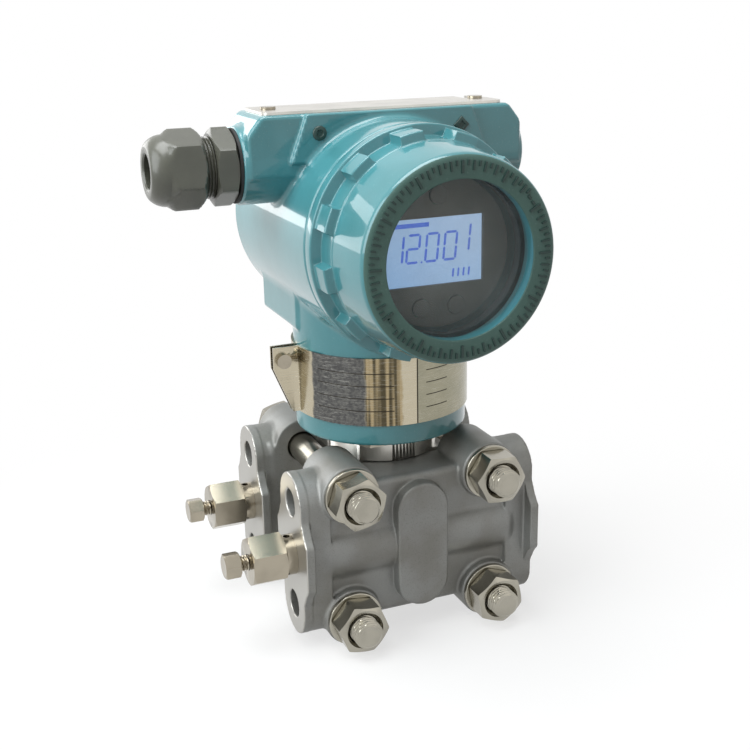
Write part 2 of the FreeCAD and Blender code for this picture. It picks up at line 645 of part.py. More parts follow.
def cell():
    """The sensor cell: a drum between the flanges with a threaded stem standing on it."""
    body = new_body("cell_body")
    extrude(body, "XZ_Plane", f"-({INNER})", INNER, lambda s: circle(s, "0", "0", "cell_radius"))
    extrude(body, "XY_Plane", "0", "block_height / 2 + saddle_gap", lambda s: rectangle(
        s, "-neck_stem_radius", "neck_stem_radius", f"-({INNER})", INNER))
    extrude(body, "XY_Plane", "block_height / 2 + saddle_gap", "neck_stem_top", lambda s: circle(
        s, "0", "0", "neck_stem_radius"))
    for low, high in ((f"-({INNER})", f"-({INNER}) + diaphragm_recess"),
                      (f"{INNER} - diaphragm_recess", INNER)):
        extrude(body, "XZ_Plane", low, high, lambda s: circle(s, "0", "0", "chamber_radius"), cut=True)
    extrude(body, "XY_Plane", "neck_stem_top - header_depth", "neck_stem_top", lambda s: circle(
        s, "0", "0", "header_radius + fine_play"), cut=True)
    floor = "neck_stem_radius + thread_gap - neck_seal_cord - 2 * fine_play"
    revolve(body, "Z_Axis", [(NECK_GROOVE, floor), (NECK_GROOVE, "neck_stem_radius"),
                             (f"{NECK_GROOVE} + neck_seal_cord * 1.3", "neck_stem_radius"),
                             (f"{NECK_GROOVE} + neck_seal_cord * 1.3", floor)], cut=True)
    return body


def cell_fittings():
    diaphragms = [rod("diaphragm", "chamber_radius - fine_play", "diaphragm_recess / 2", "Y", y=start)
                  for start in (f"-({INNER}) + diaphragm_recess / 2", f"{INNER} - diaphragm_recess")]
    group("cell_diaphragms", diaphragms)
    seals = [ring_seal("cell_seal", "seal_radius", "seal_cord * 0.8", "Y",
                       y=f"{side} * ({INNER} + seal_cord * 0.42)") for side in (-1, 1)]
    group("cell_seals", seals)
    ring = "neck_stem_radius + thread_gap - fine_play - neck_seal_cord / 2"
    keep("neck_seal", ring_seal("neck_seal", ring, "neck_seal_cord", "Z",
                                z=f"{NECK_GROOVE} + neck_seal_cord * 0.65"))
    header = rod("header", "header_radius", "header_depth * 0.6", "Z", z="neck_stem_top - header_depth")
    pins = [rod("header_pin", "header_pin_radius", "header_pin_length", "Z", f"-flange_reach + {dx}", dy,
                "neck_stem_top - header_depth / 2")
            for dx, dy in around(int(size("header_pin_count")), "0.4 * header_radius")]
    keep("sensor_header", join("sensor_header", header, *pins))
    nut = new_body("neck_lock_nut")
    extrude(nut, "XY_Plane", NUT_BOTTOM, NUT_TOP, lambda s: hexagon(s, "0", "0", "lock_nut_width"))
    extrude(nut, "XY_Plane", NUT_BOTTOM, NUT_TOP, lambda s: circle(
        s, "0", "0", "neck_stem_radius + thread_gap"), cut=True)


def flange_fasteners():
    """Four bolts from behind, each with a washer and a nut in front."""
    seat = f"-({BOSS_FACE}) - washer_thickness"
    nut_y = f"{seat} - nut_thickness"
    tip = "bolt_radius / 7"
    blunt = f"bolt_radius - {tip}"
    bolts, washers, nuts = [], [], []
    for i, k in ((-1, -1), (-1, 1), (1, -1), (1, 1)):
        x, z = f"-flange_reach + {i} * bolt_gap_wide / 2", f"{k} * bolt_gap_high / 2"
        tail = f"{nut_y} - bolt_tail + {tip}"
        point = solid("Cone", "bolt_point", Radius1=blunt, Radius2="bolt_radius", Height=tip)
        point.Placement.Rotation = TURNS["Y"]
        place(point, x, f"{nut_y} - bolt_tail", z)
        bolts.append(join("bolt", point,
                          rod("bolt_shank", "bolt_radius", f"{BOSS_FACE} - ({tail})", "Y", x, tail, z),
                          hex_rod("bolt_head", "nut_width", "head_thickness", "Y", x, BOSS_FACE, z)))
        washers.append(cut_out("washer",
                               rod("washer_disc", "washer_radius", "washer_thickness", "Y", x, seat, z),
                               rod("washer_hole", "bolt_radius + washer_bore_gap", "washer_thickness", "Y",
                                   x, seat, z)))
        nuts.append(cut_out("nut",
                            hex_rod("nut_hexagon", "nut_width", "nut_thickness", "Y", x, nut_y, z),
                            rod("nut_hole", "bolt_radius + nut_bore_gap", "nut_thickness", "Y",
                                x, nut_y, z)))
    group("flange_bolts", bolts)
    group("flange_washers", washers)
    group("flange_nuts", nuts)


def vent_valves():
    """A vent valve in the left port of each flange, and the bleed stem that screws into it."""
    start = "-2 * flange_reach"
    bodies = []
    for side in (-1, 1):
        y = f"{side} * ({PORT})"
        collar = f"{start} - valve_collar_length"
        face = f"{collar} - valve_hexagon_length"
        thread = "port_radius - valve_thread_gap"
        shell = join("valve_shell",
                     rod("valve_thread", thread, "port_depth * 0.8", "X", start, y),
                     rod("valve_collar", "valve_collar_radius", "valve_collar_length", "X", collar, y),
                     hex_rod("valve_hexagon", "valve_width", "valve_hexagon_length", "X", face, y))
        tools = [rod("valve_bore", "stem_radius + stem_gap", "valve_hexagon_length + valve_collar_length",
                     "X", face, y),
                 rod("valve_passage", "passage_radius / 2", "port_depth", "X", start, y),
                 rod("valve_outlet", "valve_outlet_radius", "valve_collar_radius + 1", "Z",
                     f"{start} - valve_collar_length / 2", y)]
        bodies.append(cut_out("valve", shell, *tools))
    group("vent_valve_bodies", bodies)
    for label, side in (("vent_stem_front", -1), ("vent_stem_rear", 1)):
        y = f"{side} * ({PORT})"
        face = f"{start} - valve_collar_length - valve_hexagon_length"
        head = f"{face} - stem_neck_length - stem_head_length"
        length = "stem_neck_length + valve_hexagon_length + valve_collar_length * 0.1"
        stem = join(label, rod("stem", "stem_radius", length, "X", f"{face} - stem_neck_length", y),
                    hex_rod("stem_head", "stem_head_width", "stem_head_length", "X", head, y))
        keep(label, stem)


def hex_rod(name, width, length, along, x, y="0", z="0"):
    """A hexagon bar along +X or +Y with its corners turned off at both ends."""
    turn = TURNS[along]
    wide = f"({width}) / 2 + {math.sqrt(3):.9f} * ({length})"
    bar = solid("Prism", f"{name}_bar", Circumradius=f"({width}) / {math.sqrt(3):.9f}", Height=length)
    bar.Polygon = 6
    low = solid("Cone", f"{name}_low", Radius1=f"({width}) / 2", Radius2=wide, Height=length)
    high = solid("Cone", f"{name}_high", Radius1=wide, Radius2=f"({width}) / 2", Height=length)
    for shape in (bar, low, high):
        shape.Placement.Rotation = turn
        place(shape, x, y, z)
    thing = document.addObject("Part::MultiCommon", name)
    thing.Shapes = [bar, low, high]
    return thing


# --- housing --------------------------------------------------------------------------------

def housing():
    """The cast housing.  Its frame stands on the barrel's axis, above the neck."""
    body = new_body("housing", z="barrel_height")
    up = "({}) - barrel_height".format
    revolve(body, "Y_Axis", [("-barrel_front", "0"), ("-barrel_front", "barrel_radius"),
                             ("barrel_rear", "barrel_radius"), ("barrel_rear", "0")])
    soften(body, "barrel_edge", ring_at("Y", "barrel_rear", "barrel_radius"))
    extrude(body, "XY_Plane", up(NECK_BOTTOM), "0", lambda s: circle(s, "0", "0", "neck_radius"))
    extrude(body, "XY_Plane", up("skirt_bottom"), "-barrel_radius / 4", lambda s: rectangle(
        s, "-skirt_width / 2", "skirt_width / 2", "-skirt_front", "skirt_rear"))
    shoulder = up(f"{BOX_TOP} - box_corner_drop")
    axis = up("conduit_height")
    top = up(BOX_TOP)
    extrude(body, "XZ_Plane", "-box_depth / 2", "box_depth / 2", lambda s: polygon(
        s, [("-box_top_length / 2", top), ("-box_length / 2", shoulder), ("-box_length / 2", axis),
            ("box_length / 2", axis), ("box_length / 2", shoulder), ("box_top_length / 2", top)]))
    side, floor = size("box_depth / 2"), size(axis)
    soften(body, "box_edge", lambda e: isinstance(e.Curve, Part.Line) and e.BoundBox.YLength < 0.01
           and abs(abs(e.BoundBox.YMin) - side) < 0.01 and e.BoundBox.ZMax > floor + 1
           and e.BoundBox.ZMin > floor - 0.01)
    extrude(body, "YZ_Plane", "-conduit_boss_reach", "conduit_boss_reach", lambda s: circle(
        s, "0", axis, "conduit_boss_radius"))
    extrude(body, "XZ_Plane", "-box_depth / 2 - panel_rise", "0", lambda s: polygon(
        s, [("-panel_top_width / 2", top), ("-panel_bottom_width / 2", f"{top} - panel_height"),
            ("panel_bottom_width / 2", f"{top} - panel_height"), ("panel_top_width / 2", top)]))
    # compartments, with the wall between them left standing
    mouth = "cover_seal_cord + 2 * seal_gap"
    front_seat = "front_bore_radius + cover_seal_cord + seal_gap"
    rear_seat = "rear_bore_radius + cover_seal_cord + seal_gap"
    step = f"-barrel_front + {mouth}"
    revolve(body, "Y_Axis", [("-barrel_front", "0"), ("-divider_front", "0"),
                             ("-divider_front", "front_bore_radius"), (step, "front_bore_radius"),
                             (step, front_seat), ("-barrel_front", front_seat)], cut=True)
    wall = "-divider_front + divider_thickness"
    revolve(body, "Y_Axis", [(wall, "0"), ("barrel_rear", "0"), ("barrel_rear", rear_seat),
                             (f"barrel_rear - ({mouth})", rear_seat),
                             (f"barrel_rear - ({mouth})", "rear_bore_radius"),
                             (wall, "rear_bore_radius")], cut=True)
    for low, high in (("-conduit_boss_reach", "-rear_bore_radius / 2"),
                      ("rear_bore_radius / 2", "conduit_boss_reach")):
        extrude(body, "YZ_Plane", low, high, lambda s: circle(
            s, "0", axis, "conduit_bore_radius"), cut=True)
    extrude(body, "XY_Plane", up(NECK_BOTTOM), up("neck_socket_top"), lambda s: circle(
        s, "0", "0", "neck_stem_radius + thread_gap"), cut=True)
    extrude(body, "XY_Plane", up("neck_socket_top - 1"), "-front_bore_radius + 6", lambda s: circle(
        s, "0", "-divider_front - lead_hole_radius - 0.5", "lead_hole_radius"), cut=True)
    for side in (-1, 1):
        extrude(body, "XY_Plane", f"{top} - adjuster_depth", top, lambda s: circle(
            s, f"{side} * adjuster_spread", "0", "adjuster_radius + adjuster_gap"), cut=True)
        extrude(body, "XY_Plane", f"{top} - plate_screw_hole_depth", top, lambda s: circle(
            s, f"{side} * plate_screw_spread", "0", "screw_radius"), cut=True)
    return body


def top_plate():
    body = new_body("top_plate", z=f"{BOX_TOP} + fine_play")
    extrude(body, "XY_Plane", "0", "plate_thickness - fine_play", lambda s: rectangle(
        s, "-plate_length / 2", "plate_length / 2", "-plate_depth / 2", "plate_depth / 2"))
    soften(body, "plate_depth / 8", lambda e: e.BoundBox.ZLength > 0.5 and e.BoundBox.XLength < 0.01)
    extrude(body, "XY_Plane", "0", "plate_thickness", lambda s: circle(
        s, "-plate_screw_spread", "0", "screw_radius + fine_play"), cut=True)
    play = "screw_radius + plate_slot_gap"
    extrude(body, "XY_Plane", "0", "plate_thickness", lambda s: rectangle(
        s, f"plate_screw_spread - ({play}) - plate_slot_slack", f"plate_screw_spread + {play}",
        f"-({play})", "plate_depth / 2"), cut=True)
    screws = [pan_screw(f"-flange_reach + {side} * plate_screw_spread", "0",
                        f"{BOX_TOP} + plate_thickness + fine_play", "plate_screw_depth + plate_thickness")
              for side in (-1, 1)]
    group("top_plate_screws", screws)
    for label, side in (("zero_adjuster", -1), ("span_adjuster", 1)):
        x = f"-flange_reach + {side} * adjuster_spread"
        head = f"{BOX_TOP} - adjuster_drop"
        plunger = rod(f"{label}_plunger", "adjuster_radius", "adjuster_length", "Z", x, "0",
                      f"{head} - adjuster_length")
        slit = block(f"{label}_slit", "2 * adjuster_radius", "adjuster_slit_width", "adjuster_slit_depth",
                     f"{x} - adjuster_radius", "-adjuster_slit_width / 2", f"{head} - adjuster_slit_depth")
        keep(label, cut_out(label, plunger, slit))


def pan_screw(x, y, head_z, length):
    """An upright screw whose head stands on head_z."""
    return join("screw", rod("screw_head", "screw_head_radius", "plate_screw_head", "Z", x, y, head_z),
                rod("screw_shank", "screw_radius", length, "Z", x, y, f"{head_z} - ({length})"))


def facing_screw(x, y, z, length, side):
    """A screw along Y whose head stands on y and faces the front (side -1) or the back (side 1)."""
    head_start = y if side > 0 else f"({y}) - screw_head_height"
    shank_start = f"({y}) - ({length})" if side > 0 else y
    return join("screw", rod("screw_head", "screw_head_radius", "screw_head_height", "Y", x, head_start, z),
                rod("screw_shank", "screw_radius", length, "Y", x, shank_start, z))


# --- covers ---------------------------------------------------------------------------------

def front_cover():
    """The window cover: a turned cap with a ring of lugs and a threaded skirt."""
    body = new_body("front_cover", z="barrel_height")
    rim = "-barrel_front - cover_gap"
    lip = "-cover_front + window_lip"
    glass_back = f"{lip} + glass_thickness + gasket_thickness"
    skirt_end = f"{rim} + cover_skirt_length"
    revolve(body, "Y_Axis", [
        ("-cover_front", "window_radius"), ("-cover_front", "cover_face_radius"),
        ("-cover_lug_front", "cover_flank_radius"), ("-cover_lug_rear", "cover_flank_radius + 0.4"),
        ("-cover_lug_rear", "cover_rim_radius"), (rim, "cover_rim_radius"),
        (rim, "front_bore_radius - thread_gap"), (skirt_end, "front_bore_radius - thread_gap"),
        (skirt_end, "cover_bore_radius"), (f"{glass_back} + retainer_thickness", "cover_bore_radius"),
        (f"{glass_back} + retainer_thickness", "retainer_radius + loose_gap"),
        (glass_back, "retainer_radius + loose_gap"), (glass_back, "glass_radius + loose_gap"),
        (lip, "glass_radius + loose_gap"), (lip, "window_radius")])
    soften(body, "cover_face_edge", ring_at("Y", "-cover_front", "cover_face_radius"))
    soften(body, "cover_rim_edge", ring_at("Y", "-cover_lug_rear", "cover_rim_radius"))
    lean = math.radians(size("cover_lug_turn"))
    low, high = "cover_flank_radius - 2", "cover_lug_radius"
    corners = [(f"{math.cos(lean):.9f} * {a} * cover_lug_width / 2 + {math.sin(lean):.9f} * ({b})",
                f"{math.cos(lean):.9f} * ({b}) - {math.sin(lean):.9f} * {a} * cover_lug_width / 2")
               for a, b in ((-1, low), (1, low), (1, high), (-1, high))]
    lug = extrude(body, "XZ_Plane", "-cover_lug_front", "-cover_lug_rear + 0.5", lambda s: polygon(
        s, corners))
    repeat_round(body, lug, "Y_Axis", "lug_count")
    return body


def window_parts():
    z = "barrel_height"
    lip = "-cover_front + window_lip"
    keep("window_glass", rod("window_glass", "glass_radius", "glass_thickness", "Y", y=lip, z=z))
    gasket_start = f"{lip} + glass_thickness"
    keep("window_gasket", cut_out("window_gasket",
         rod("gasket_disc", "glass_radius", "gasket_thickness", "Y", y=gasket_start, z=z),
         rod("gasket_hole", "retainer_bore_radius", "gasket_thickness", "Y", y=gasket_start, z=z)))
    ring_start = f"{gasket_start} + gasket_thickness"
    ring_middle = "(retainer_radius + retainer_bore_radius) / 2"
    slots = [block("spanner_slot", "spanner_slot_width", "spanner_slot_depth", "spanner_slot_height",
                   "-flange_reach - spanner_slot_width / 2",
                   f"{ring_start} + retainer_thickness - spanner_slot_depth",
                   f"{z} + {side} * {ring_middle} - spanner_slot_height / 2") for side in (-1, 1)]
    ring = rod("retainer_disc", "retainer_radius", "retainer_thickness", "Y", y=ring_start, z=z)
    hole = rod("retainer_hole", "retainer_bore_radius", "retainer_thickness", "Y", y=ring_start, z=z)
    keep("window_retainer", cut_out("window_retainer", ring, hole, *slots))


def rear_cover():
    """The cover of the terminal compartment."""
    body = new_body("rear_cover", z="barrel_height")
    rim = "barrel_rear + cover_gap"
    top = f"{rim} + rear_cap_thickness"
    skirt_end = f"{rim} - cover_skirt_length"
    thread = "rear_bore_radius - thread_gap"
    inside = f"{thread} - rear_cap_wall"
    revolve(body, "Y_Axis", [
        (top, "0"), (top, "rear_cap_core"), (rim, "rear_cap_core"), (rim, thread), (skirt_end, thread),
        (skirt_end, inside), (f"{top} - rear_cap_wall", inside), (f"{top} - rear_cap_wall", "0")])
    soften(body, "rear_cap_edge", ring_at("Y", top, "rear_cap_core"))
    rim_back = f"{rim} + rear_cap_edge"
    extrude(body, "XZ_Plane", rim, rim_back, lambda s: circle(s, "0", "0", "rear_cap_radius"))
    extrude(body, "XZ_Plane", f"{rim} - 0.5", rim_back, lambda s: circle(s, "0", "0", inside), cut=True)
    lug = extrude(body, "XZ_Plane", f"{rim} + 1", f"{top} - rear_cap_edge", lambda s: rectangle(
        s, "-rear_lug_width / 2", "rear_lug_width / 2", "rear_cap_core - 2", "rear_cap_radius"))
    repeat_round(body, lug, "Y_Axis", "lug_count")
    return body


def cover_seals():
    """Ring seals round the covers' skirts; they come away with the covers."""
    middle = "cover_seal_cord / 2 + seal_gap"
    keep("front_cover_seal", ring_seal("front_cover_seal", f"front_bore_radius + {middle} - thread_gap / 2",
         "cover_seal_cord", "Y", y=f"-barrel_front - cover_gap + {middle}", z="barrel_height"))
    keep("rear_cover_seal", ring_seal("rear_cover_seal", f"rear_bore_radius + {middle} - thread_gap / 2",
         "cover_seal_cord", "Y", y=f"barrel_rear + cover_gap - ({middle})", z="barrel_height"))


# --- electronics ----------------------------------------------------------------------------

BOARD_Y = "-divider_front - main_board_stand"
BEZEL_BACK = "-display_front + bezel_depth"
SCREEN_Y = "-display_front + bezel_wall"
KEY_PLACES = [("-key_spread", "-key_circle"), ("key_spread", "-key_circle"), ("0", "key_circle")]
TRAY_MIDDLE = "terminal_tray_height / 2"
# parts on the main board: length, depth and height of a chip, or radius and length of a can,
# then its lowest corner or its axis from the middle of the board
CHIPS = [("12", "1.6", "12", "-6", "-6"), ("9", "1.4", "5", "-18", "-4"),
         ("7", "4", "9", "8.5", "-13"), ("16", "2.6", "5", "-8", "10")]
CANS = [("3.2", "8", "15", "3"), ("3.2", "8", "-13", "-14")]


def boards():
    z = "barrel_height"
    main_back = f"{BOARD_Y} - board_thickness"
    posts = [rod("stand", "post_radius", "main_board_stand", "Y", f"-flange_reach + {dx}", BOARD_Y,
                 f"{z} + {dz}") for dx, dz in around(3, "post_circle")]
    group("board_standoffs", posts)
    keep("main_board", rod("main_board", "main_board_radius", "board_thickness", "Y", y=main_back, z=z))
    columns = [rod("column", "post_radius", f"({main_back}) - ({BEZEL_BACK})", "Y", f"-flange_reach + {dx}",
                   BEZEL_BACK, f"{z} + {dz}") for dx, dz in around(3, "post_circle", 30)]
    group("display_standoffs", columns)
    chips = [block("chip", length, depth, height, f"-flange_reach + {x}", f"{main_back} - {depth}",
                   f"{z} + {up}") for length, depth, height, x, up in CHIPS]
    cans = [rod("capacitor", radius, length, "Y", f"-flange_reach + {x}", f"{main_back} - {length}",
                f"{z} + {up}") for radius, length, x, up in CANS]
    group("board_components", chips + cans)
    keep("display_board", rod("display_board", "display_board_radius", "board_thickness", "Y",
                              y=f"{BEZEL_BACK} - board_thickness", z=z))


def display():
    body = new_body("display_bezel", z="barrel_height")
    left = "screen_offset - screen_width / 2"
    right = "screen_offset + screen_width / 2"
    inside = "bezel_radius - bezel_wall"
    revolve(body, "Y_Axis", [("-display_front", "0"), ("-display_front", "bezel_radius"),
                             (BEZEL_BACK, "bezel_radius"), (BEZEL_BACK, inside),
                             (SCREEN_Y, inside), (SCREEN_Y, "0")])
    extrude(body, "XZ_Plane", "-display_front", SCREEN_Y, lambda s: rectangle(
        s, left, right, "-screen_height / 2", "screen_height / 2"), cut=True)
    for dx, dz in KEY_PLACES:
        extrude(body, "XZ_Plane", "-display_front", SCREEN_Y, lambda s: circle(
            s, dx, dz, "key_radius + key_gap"), cut=True)
    x = f"-flange_reach + {left} - screen_border"
    low = "barrel_height - screen_height / 2 - screen_border"
    width, height = "screen_width + 2 * screen_border", "screen_height + 2 * screen_border"
    keep("lcd_panel", block("lcd_panel", width, "screen_thickness", height, x, SCREEN_Y, low))
    depth = f"({BEZEL_BACK}) - board_thickness - ({SCREEN_Y}) - screen_thickness"
    keep("lcd_backlight", block("lcd_backlight", width, depth, height,
                                x, f"{SCREEN_Y} + screen_thickness", low))
    for label, (dx, dz) in zip(("key_left", "key_right", "key_top"), KEY_PLACES):
        keep(label, rod(label, "key_radius", "key_length", "Y", f"-flange_reach + {dx}",
                        "-display_front - key_proud", f"barrel_height + {dz}"))


def terminals():
    z = "barrel_height"
    block_back = "terminal_front + terminal_thickness"
    wall = "-divider_front + divider_thickness"
    legs = [rod("terminal_leg", "terminal_leg_radius", f"terminal_front - ({wall})", "Y",
                f"-flange_reach + {side} * terminal_leg_spread", wall, f"{z} - terminal_leg_radius * 2")
            for side in (-1, 1)]
    disc = rod("terminal_disc", "terminal_radius", "terminal_thickness", "Y", y="terminal_front", z=z)
    tray = block("terminal_tray", "terminal_pitch * 4", "terminal_thickness / 2", "terminal_tray_height",
                 "-flange_reach - terminal_pitch * 2", "terminal_front + terminal_thickness / 2",
                 f"{z} - terminal_tray_height")
    ground = ("-flange_reach", f"({block_back}) - ground_screw_length", f"{z} + ground_screw_height")
    ground_hole = rod("ground_hole", "screw_radius", "ground_screw_length", "Y", *ground)
    whole = join("terminal_solid", disc, *legs)
    keep("terminal_block", cut_out("terminal_block", whole, tray, ground_hole))
    floor = "terminal_front + terminal_thickness / 2"
    screws, clamps = [], []
    for place_number in (-1.5, -0.5, 0.5, 1.5):
        x = f"-flange_reach + {place_number} * terminal_pitch"
        plate = block("clamp_plate", "clamp_width", "clamp_thickness", "clamp_height",
                      f"{x} - clamp_width / 2", floor, f"{z} - {TRAY_MIDDLE} - clamp_height / 2")
        hole = rod("clamp_hole", "screw_radius", "clamp_thickness", "Y", x, floor, f"{z} - {TRAY_MIDDLE}")
        clamps.append(cut_out("clamp", plate, hole))
        screws.append(facing_screw(x, f"{floor} + clamp_thickness", f"{z} - {TRAY_MIDDLE}",
                                   "clamp_thickness", 1))
    group("terminal_clamps", clamps)
    group("terminal_screws", screws)
    keep("ground_screw", facing_screw("-flange_reach", block_back, f"{z} + ground_screw_height",
                                      "ground_screw_length", 1))


# --- gland, plug and name band ------------------------------------------------------------------

def gland():
    z = "conduit_height"
    end = "-flange_reach - conduit_boss_reach"
    washer_x = f"{end} - gland_washer_thickness"
    keep("gland_washer", cut_out("gland_washer",
         rod("gland_washer_disc", "gland_washer_radius", "gland_washer_thickness", "X", washer_x, "0", z),
         rod("gland_washer_hole", "conduit_bore_radius", "gland_washer_thickness", "X", washer_x, "0", z)))
    hex_x = f"{washer_x} - gland_hex_length"
    nose_x = f"{hex_x} - gland_nose_length"
    stub = "gland_stub_length + gland_washer_thickness"
    shell = join("gland_shell",
                 rod("gland_stub", "conduit_bore_radius - thread_gap", stub, "X", washer_x, "0", z),
                 hex_rod("gland_hexagon", "gland_hex_width", "gland_hex_length", "X", hex_x, "0", z),
                 rod("gland_nose", "gland_nose_radius", "gland_nose_length", "X", nose_x, "0", z))
    seat = "gland_seal_radius + thread_gap"
    through = f"gland_nose_length + gland_hex_length + {stub}"
    nut_x = f"{hex_x} - dome_nut_start - dome_nut_length"
    seal_x = f"{nut_x} + dome_wall + gland_seal_gap"
    seat_depth = f"gland_seal_length + 2 * gland_seal_gap + ({seal_x} - gland_seal_gap) - ({nose_x})"
    keep("gland_body", cut_out("gland_body", shell,
         rod("gland_bore", "gland_bore_radius", through, "X", nose_x, "0", z),
         rod("gland_seat", seat, seat_depth, "X", nose_x, "0", z)))
    body = new_body("gland_dome_nut", x=nut_x, z=z)
    extrude(body, "YZ_Plane", "0", "dome_nut_length", lambda s: hexagon(s, "0", "0", "dome_nut_width"))
    turn_x(body, [("0", "dome_face_radius"), ("dome_length", "dome_nut_width * 0.56"),
                  ("dome_length", "dome_nut_width"), ("0", "dome_nut_width")])
    soften(body, "dome_edge", ring_at("X", "0", "dome_face_radius"))
    turn_x(body, [("dome_nut_length - dome_nut_bevel", "dome_nut_width * 0.6"),
                  ("dome_nut_length", "dome_nut_width * 0.6"), ("dome_nut_length", "dome_nut_width / 2")])
    step = "dome_nut_length - gland_nose_length + dome_nut_start - gland_seal_gap"
    turn_x(body, [("0", "0"), ("0", "cable_hole_radius"), ("dome_wall", "cable_hole_radius"),
                  ("dome_wall", seat), (step, seat), (step, "gland_nose_radius + thread_gap"),
                  ("dome_nut_length", "gland_nose_radius + thread_gap"), ("dome_nut_length", "0")])
    keep("gland_seal", cut_out("gland_seal",
         rod("gland_seal_solid", "gland_seal_radius", "gland_seal_length", "X", seal_x, "0", z),
         rod("gland_seal_bore", "cable_bore_radius", "gland_seal_length", "X", seal_x, "0", z)))
    plug_x = "-flange_reach + conduit_boss_reach - plug_recess - plug_length"
    keep("conduit_plug", cut_out("conduit_plug",
         rod("plug_solid", "conduit_bore_radius - plug_fit", "plug_length", "X", plug_x, "0", z),
         hex_socket("plug_socket", "plug_socket_width", "plug_socket_depth",
                    f"{plug_x} + plug_length - plug_socket_depth", z)))


def hex_socket(name, width, length, x, z):
    bar = solid("Prism", name, Circumradius=f"({width}) / {math.sqrt(3):.9f}", Height=length)
    bar.Polygon = 6
    bar.Placement.Rotation = TURNS["X"]
    place(bar, x, "0", z)
    return bar


def turn_x(body, corners):
    """Cuts a turned profile of (along X, radius) corners."""
    before = volume(body)
    sketch = sketch_on(body, "XZ_Plane")
    polygon(sketch, corners)
    feature = body.newObject("PartDesign::Groove", f"{body.Name}_groove")
    feature.Profile = sketch
    feature.ReferenceAxis = (origin(body, "X_Axis"), [""])
    feature.Angle = 360
    check_change(body, feature, before)


def name_band():
    """A sheet band round the neck whose two ears are drawn together by a screw."""
    body = new_body("band_nameplate", z="band_bottom")
    inner = "neck_radius + band_seat"
    outer = f"{inner} + band_thickness"
    gap = "band_ear_gap / 2"
    extrude(body, "XY_Plane", "0", "band_height", lambda s: circle(s, "0", "0", outer))
    tip = f"-({outer}) - band_ear_reach"
    ear = [(f"-({inner})", "0"), (f"-({inner})", "band_height"), (tip, "band_height"),
           (tip, "band_ear_cut"), (f"-({outer}) - band_ear_reach / 4", "0")]
    for low, high in ((f"-({gap}) - band_thickness", f"-({gap})"), (gap, f"{gap} + band_thickness")):
        extrude(body, "XZ_Plane", low, high, lambda s: polygon(s, ear))
    extrude(body, "XY_Plane", "0", "band_height", lambda s: circle(s, "0", "0", inner), cut=True)
    extrude(body, "XZ_Plane", f"-({gap})", gap, lambda s: rectangle(
        s, f"-({outer}) - 1", f"-({inner}) + 1", "-1", "band_height + 1"), cut=True)
    hole_x, hole_z = f"-({outer}) - band_ear_reach * 0.6", "band_height - band_screw_height"
    extrude(body, "XZ_Plane", f"-({gap}) - band_thickness", f"{gap} + band_thickness", lambda s: circle(
        s, hole_x, hole_z, "band_screw_radius"), cut=True)
    x, z = f"-flange_reach + {hole_x}", f"band_bottom + {hole_z}"
    keep("band_screw", facing_screw(x, f"-({gap}) - band_thickness", z,
                                    "band_ear_gap + 2 * band_thickness + band_screw_end", -1))
    nut_y = f"{gap} + band_thickness"
    nut_disc = rod("band_nut_disc", "band_nut_radius", "band_nut_thickness", "Y", x, nut_y, z)
    nut_hole = rod("band_nut_hole", "band_screw_radius", "band_nut_thickness", "Y", x, nut_y, z)
    keep("band_nut", cut_out("band_nut", nut_disc, nut_hole))


flange("flange_front", False)
flange("flange_rear", True)
cell()
cell_fittings()
flange_fasteners()
vent_valves()
housing()
top_plate()
front_cover()
window_parts()
rear_cover()
cover_seals()
boards()
display()
terminals()
gland()
name_band()
document.recompute()

for thing in document.Objects:
    if "Invalid" in thing.State or "Error" in thing.State:
        raise RuntimeError(f"{thing.Label} did not build: {thing.State}")
os.makedirs("parts", exist_ok=True)
for piece in parts:
    if piece.Shape.isNull() or not piece.Shape.isValid():
        raise RuntimeError(f"{piece.Label} is not a valid shape")
    piece.Shape.exportStep(f"parts/{piece.Label}.step")
    print(f"{piece.Label}: {len(piece.Shape.Solids)} solid(s), {piece.Shape.Volume / 1000:.2f} cm3")
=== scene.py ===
# %% [markdown]
# A differential pressure transmitter, dressed on its solid model
# ===============================================================
# The solid model already has every piece at its real size.  This file gives the pieces their looks:
# the soft edges of a casting, the enamel, the machined and polished steel, the lit screen.  It is
# read from top to bottom, one cell at a time, and each cell prints what it made.

# %% Load the frame
import json
import math
import bmesh
import bpy
import numpy as np
from mathutils import Matrix, Vector

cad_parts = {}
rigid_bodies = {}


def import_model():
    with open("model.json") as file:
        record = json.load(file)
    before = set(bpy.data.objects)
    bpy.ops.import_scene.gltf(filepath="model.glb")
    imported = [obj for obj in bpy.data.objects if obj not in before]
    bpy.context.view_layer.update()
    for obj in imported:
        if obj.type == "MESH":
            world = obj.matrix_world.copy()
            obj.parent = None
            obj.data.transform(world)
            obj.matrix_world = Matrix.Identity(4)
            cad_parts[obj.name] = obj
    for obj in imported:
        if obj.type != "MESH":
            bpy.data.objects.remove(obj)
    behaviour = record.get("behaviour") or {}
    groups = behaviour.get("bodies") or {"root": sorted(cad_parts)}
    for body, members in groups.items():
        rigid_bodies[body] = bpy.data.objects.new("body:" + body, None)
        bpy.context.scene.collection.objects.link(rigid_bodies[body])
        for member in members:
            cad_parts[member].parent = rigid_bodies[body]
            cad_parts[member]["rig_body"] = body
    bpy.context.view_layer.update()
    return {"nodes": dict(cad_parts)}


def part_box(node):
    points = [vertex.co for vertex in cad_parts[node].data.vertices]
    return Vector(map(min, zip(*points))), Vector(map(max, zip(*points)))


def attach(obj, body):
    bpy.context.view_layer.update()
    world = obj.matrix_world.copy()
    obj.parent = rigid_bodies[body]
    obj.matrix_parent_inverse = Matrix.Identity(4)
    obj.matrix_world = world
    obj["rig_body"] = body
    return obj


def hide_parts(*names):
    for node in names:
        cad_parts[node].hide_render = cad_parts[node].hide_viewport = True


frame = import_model()
print("nodes:", len(frame["nodes"]))

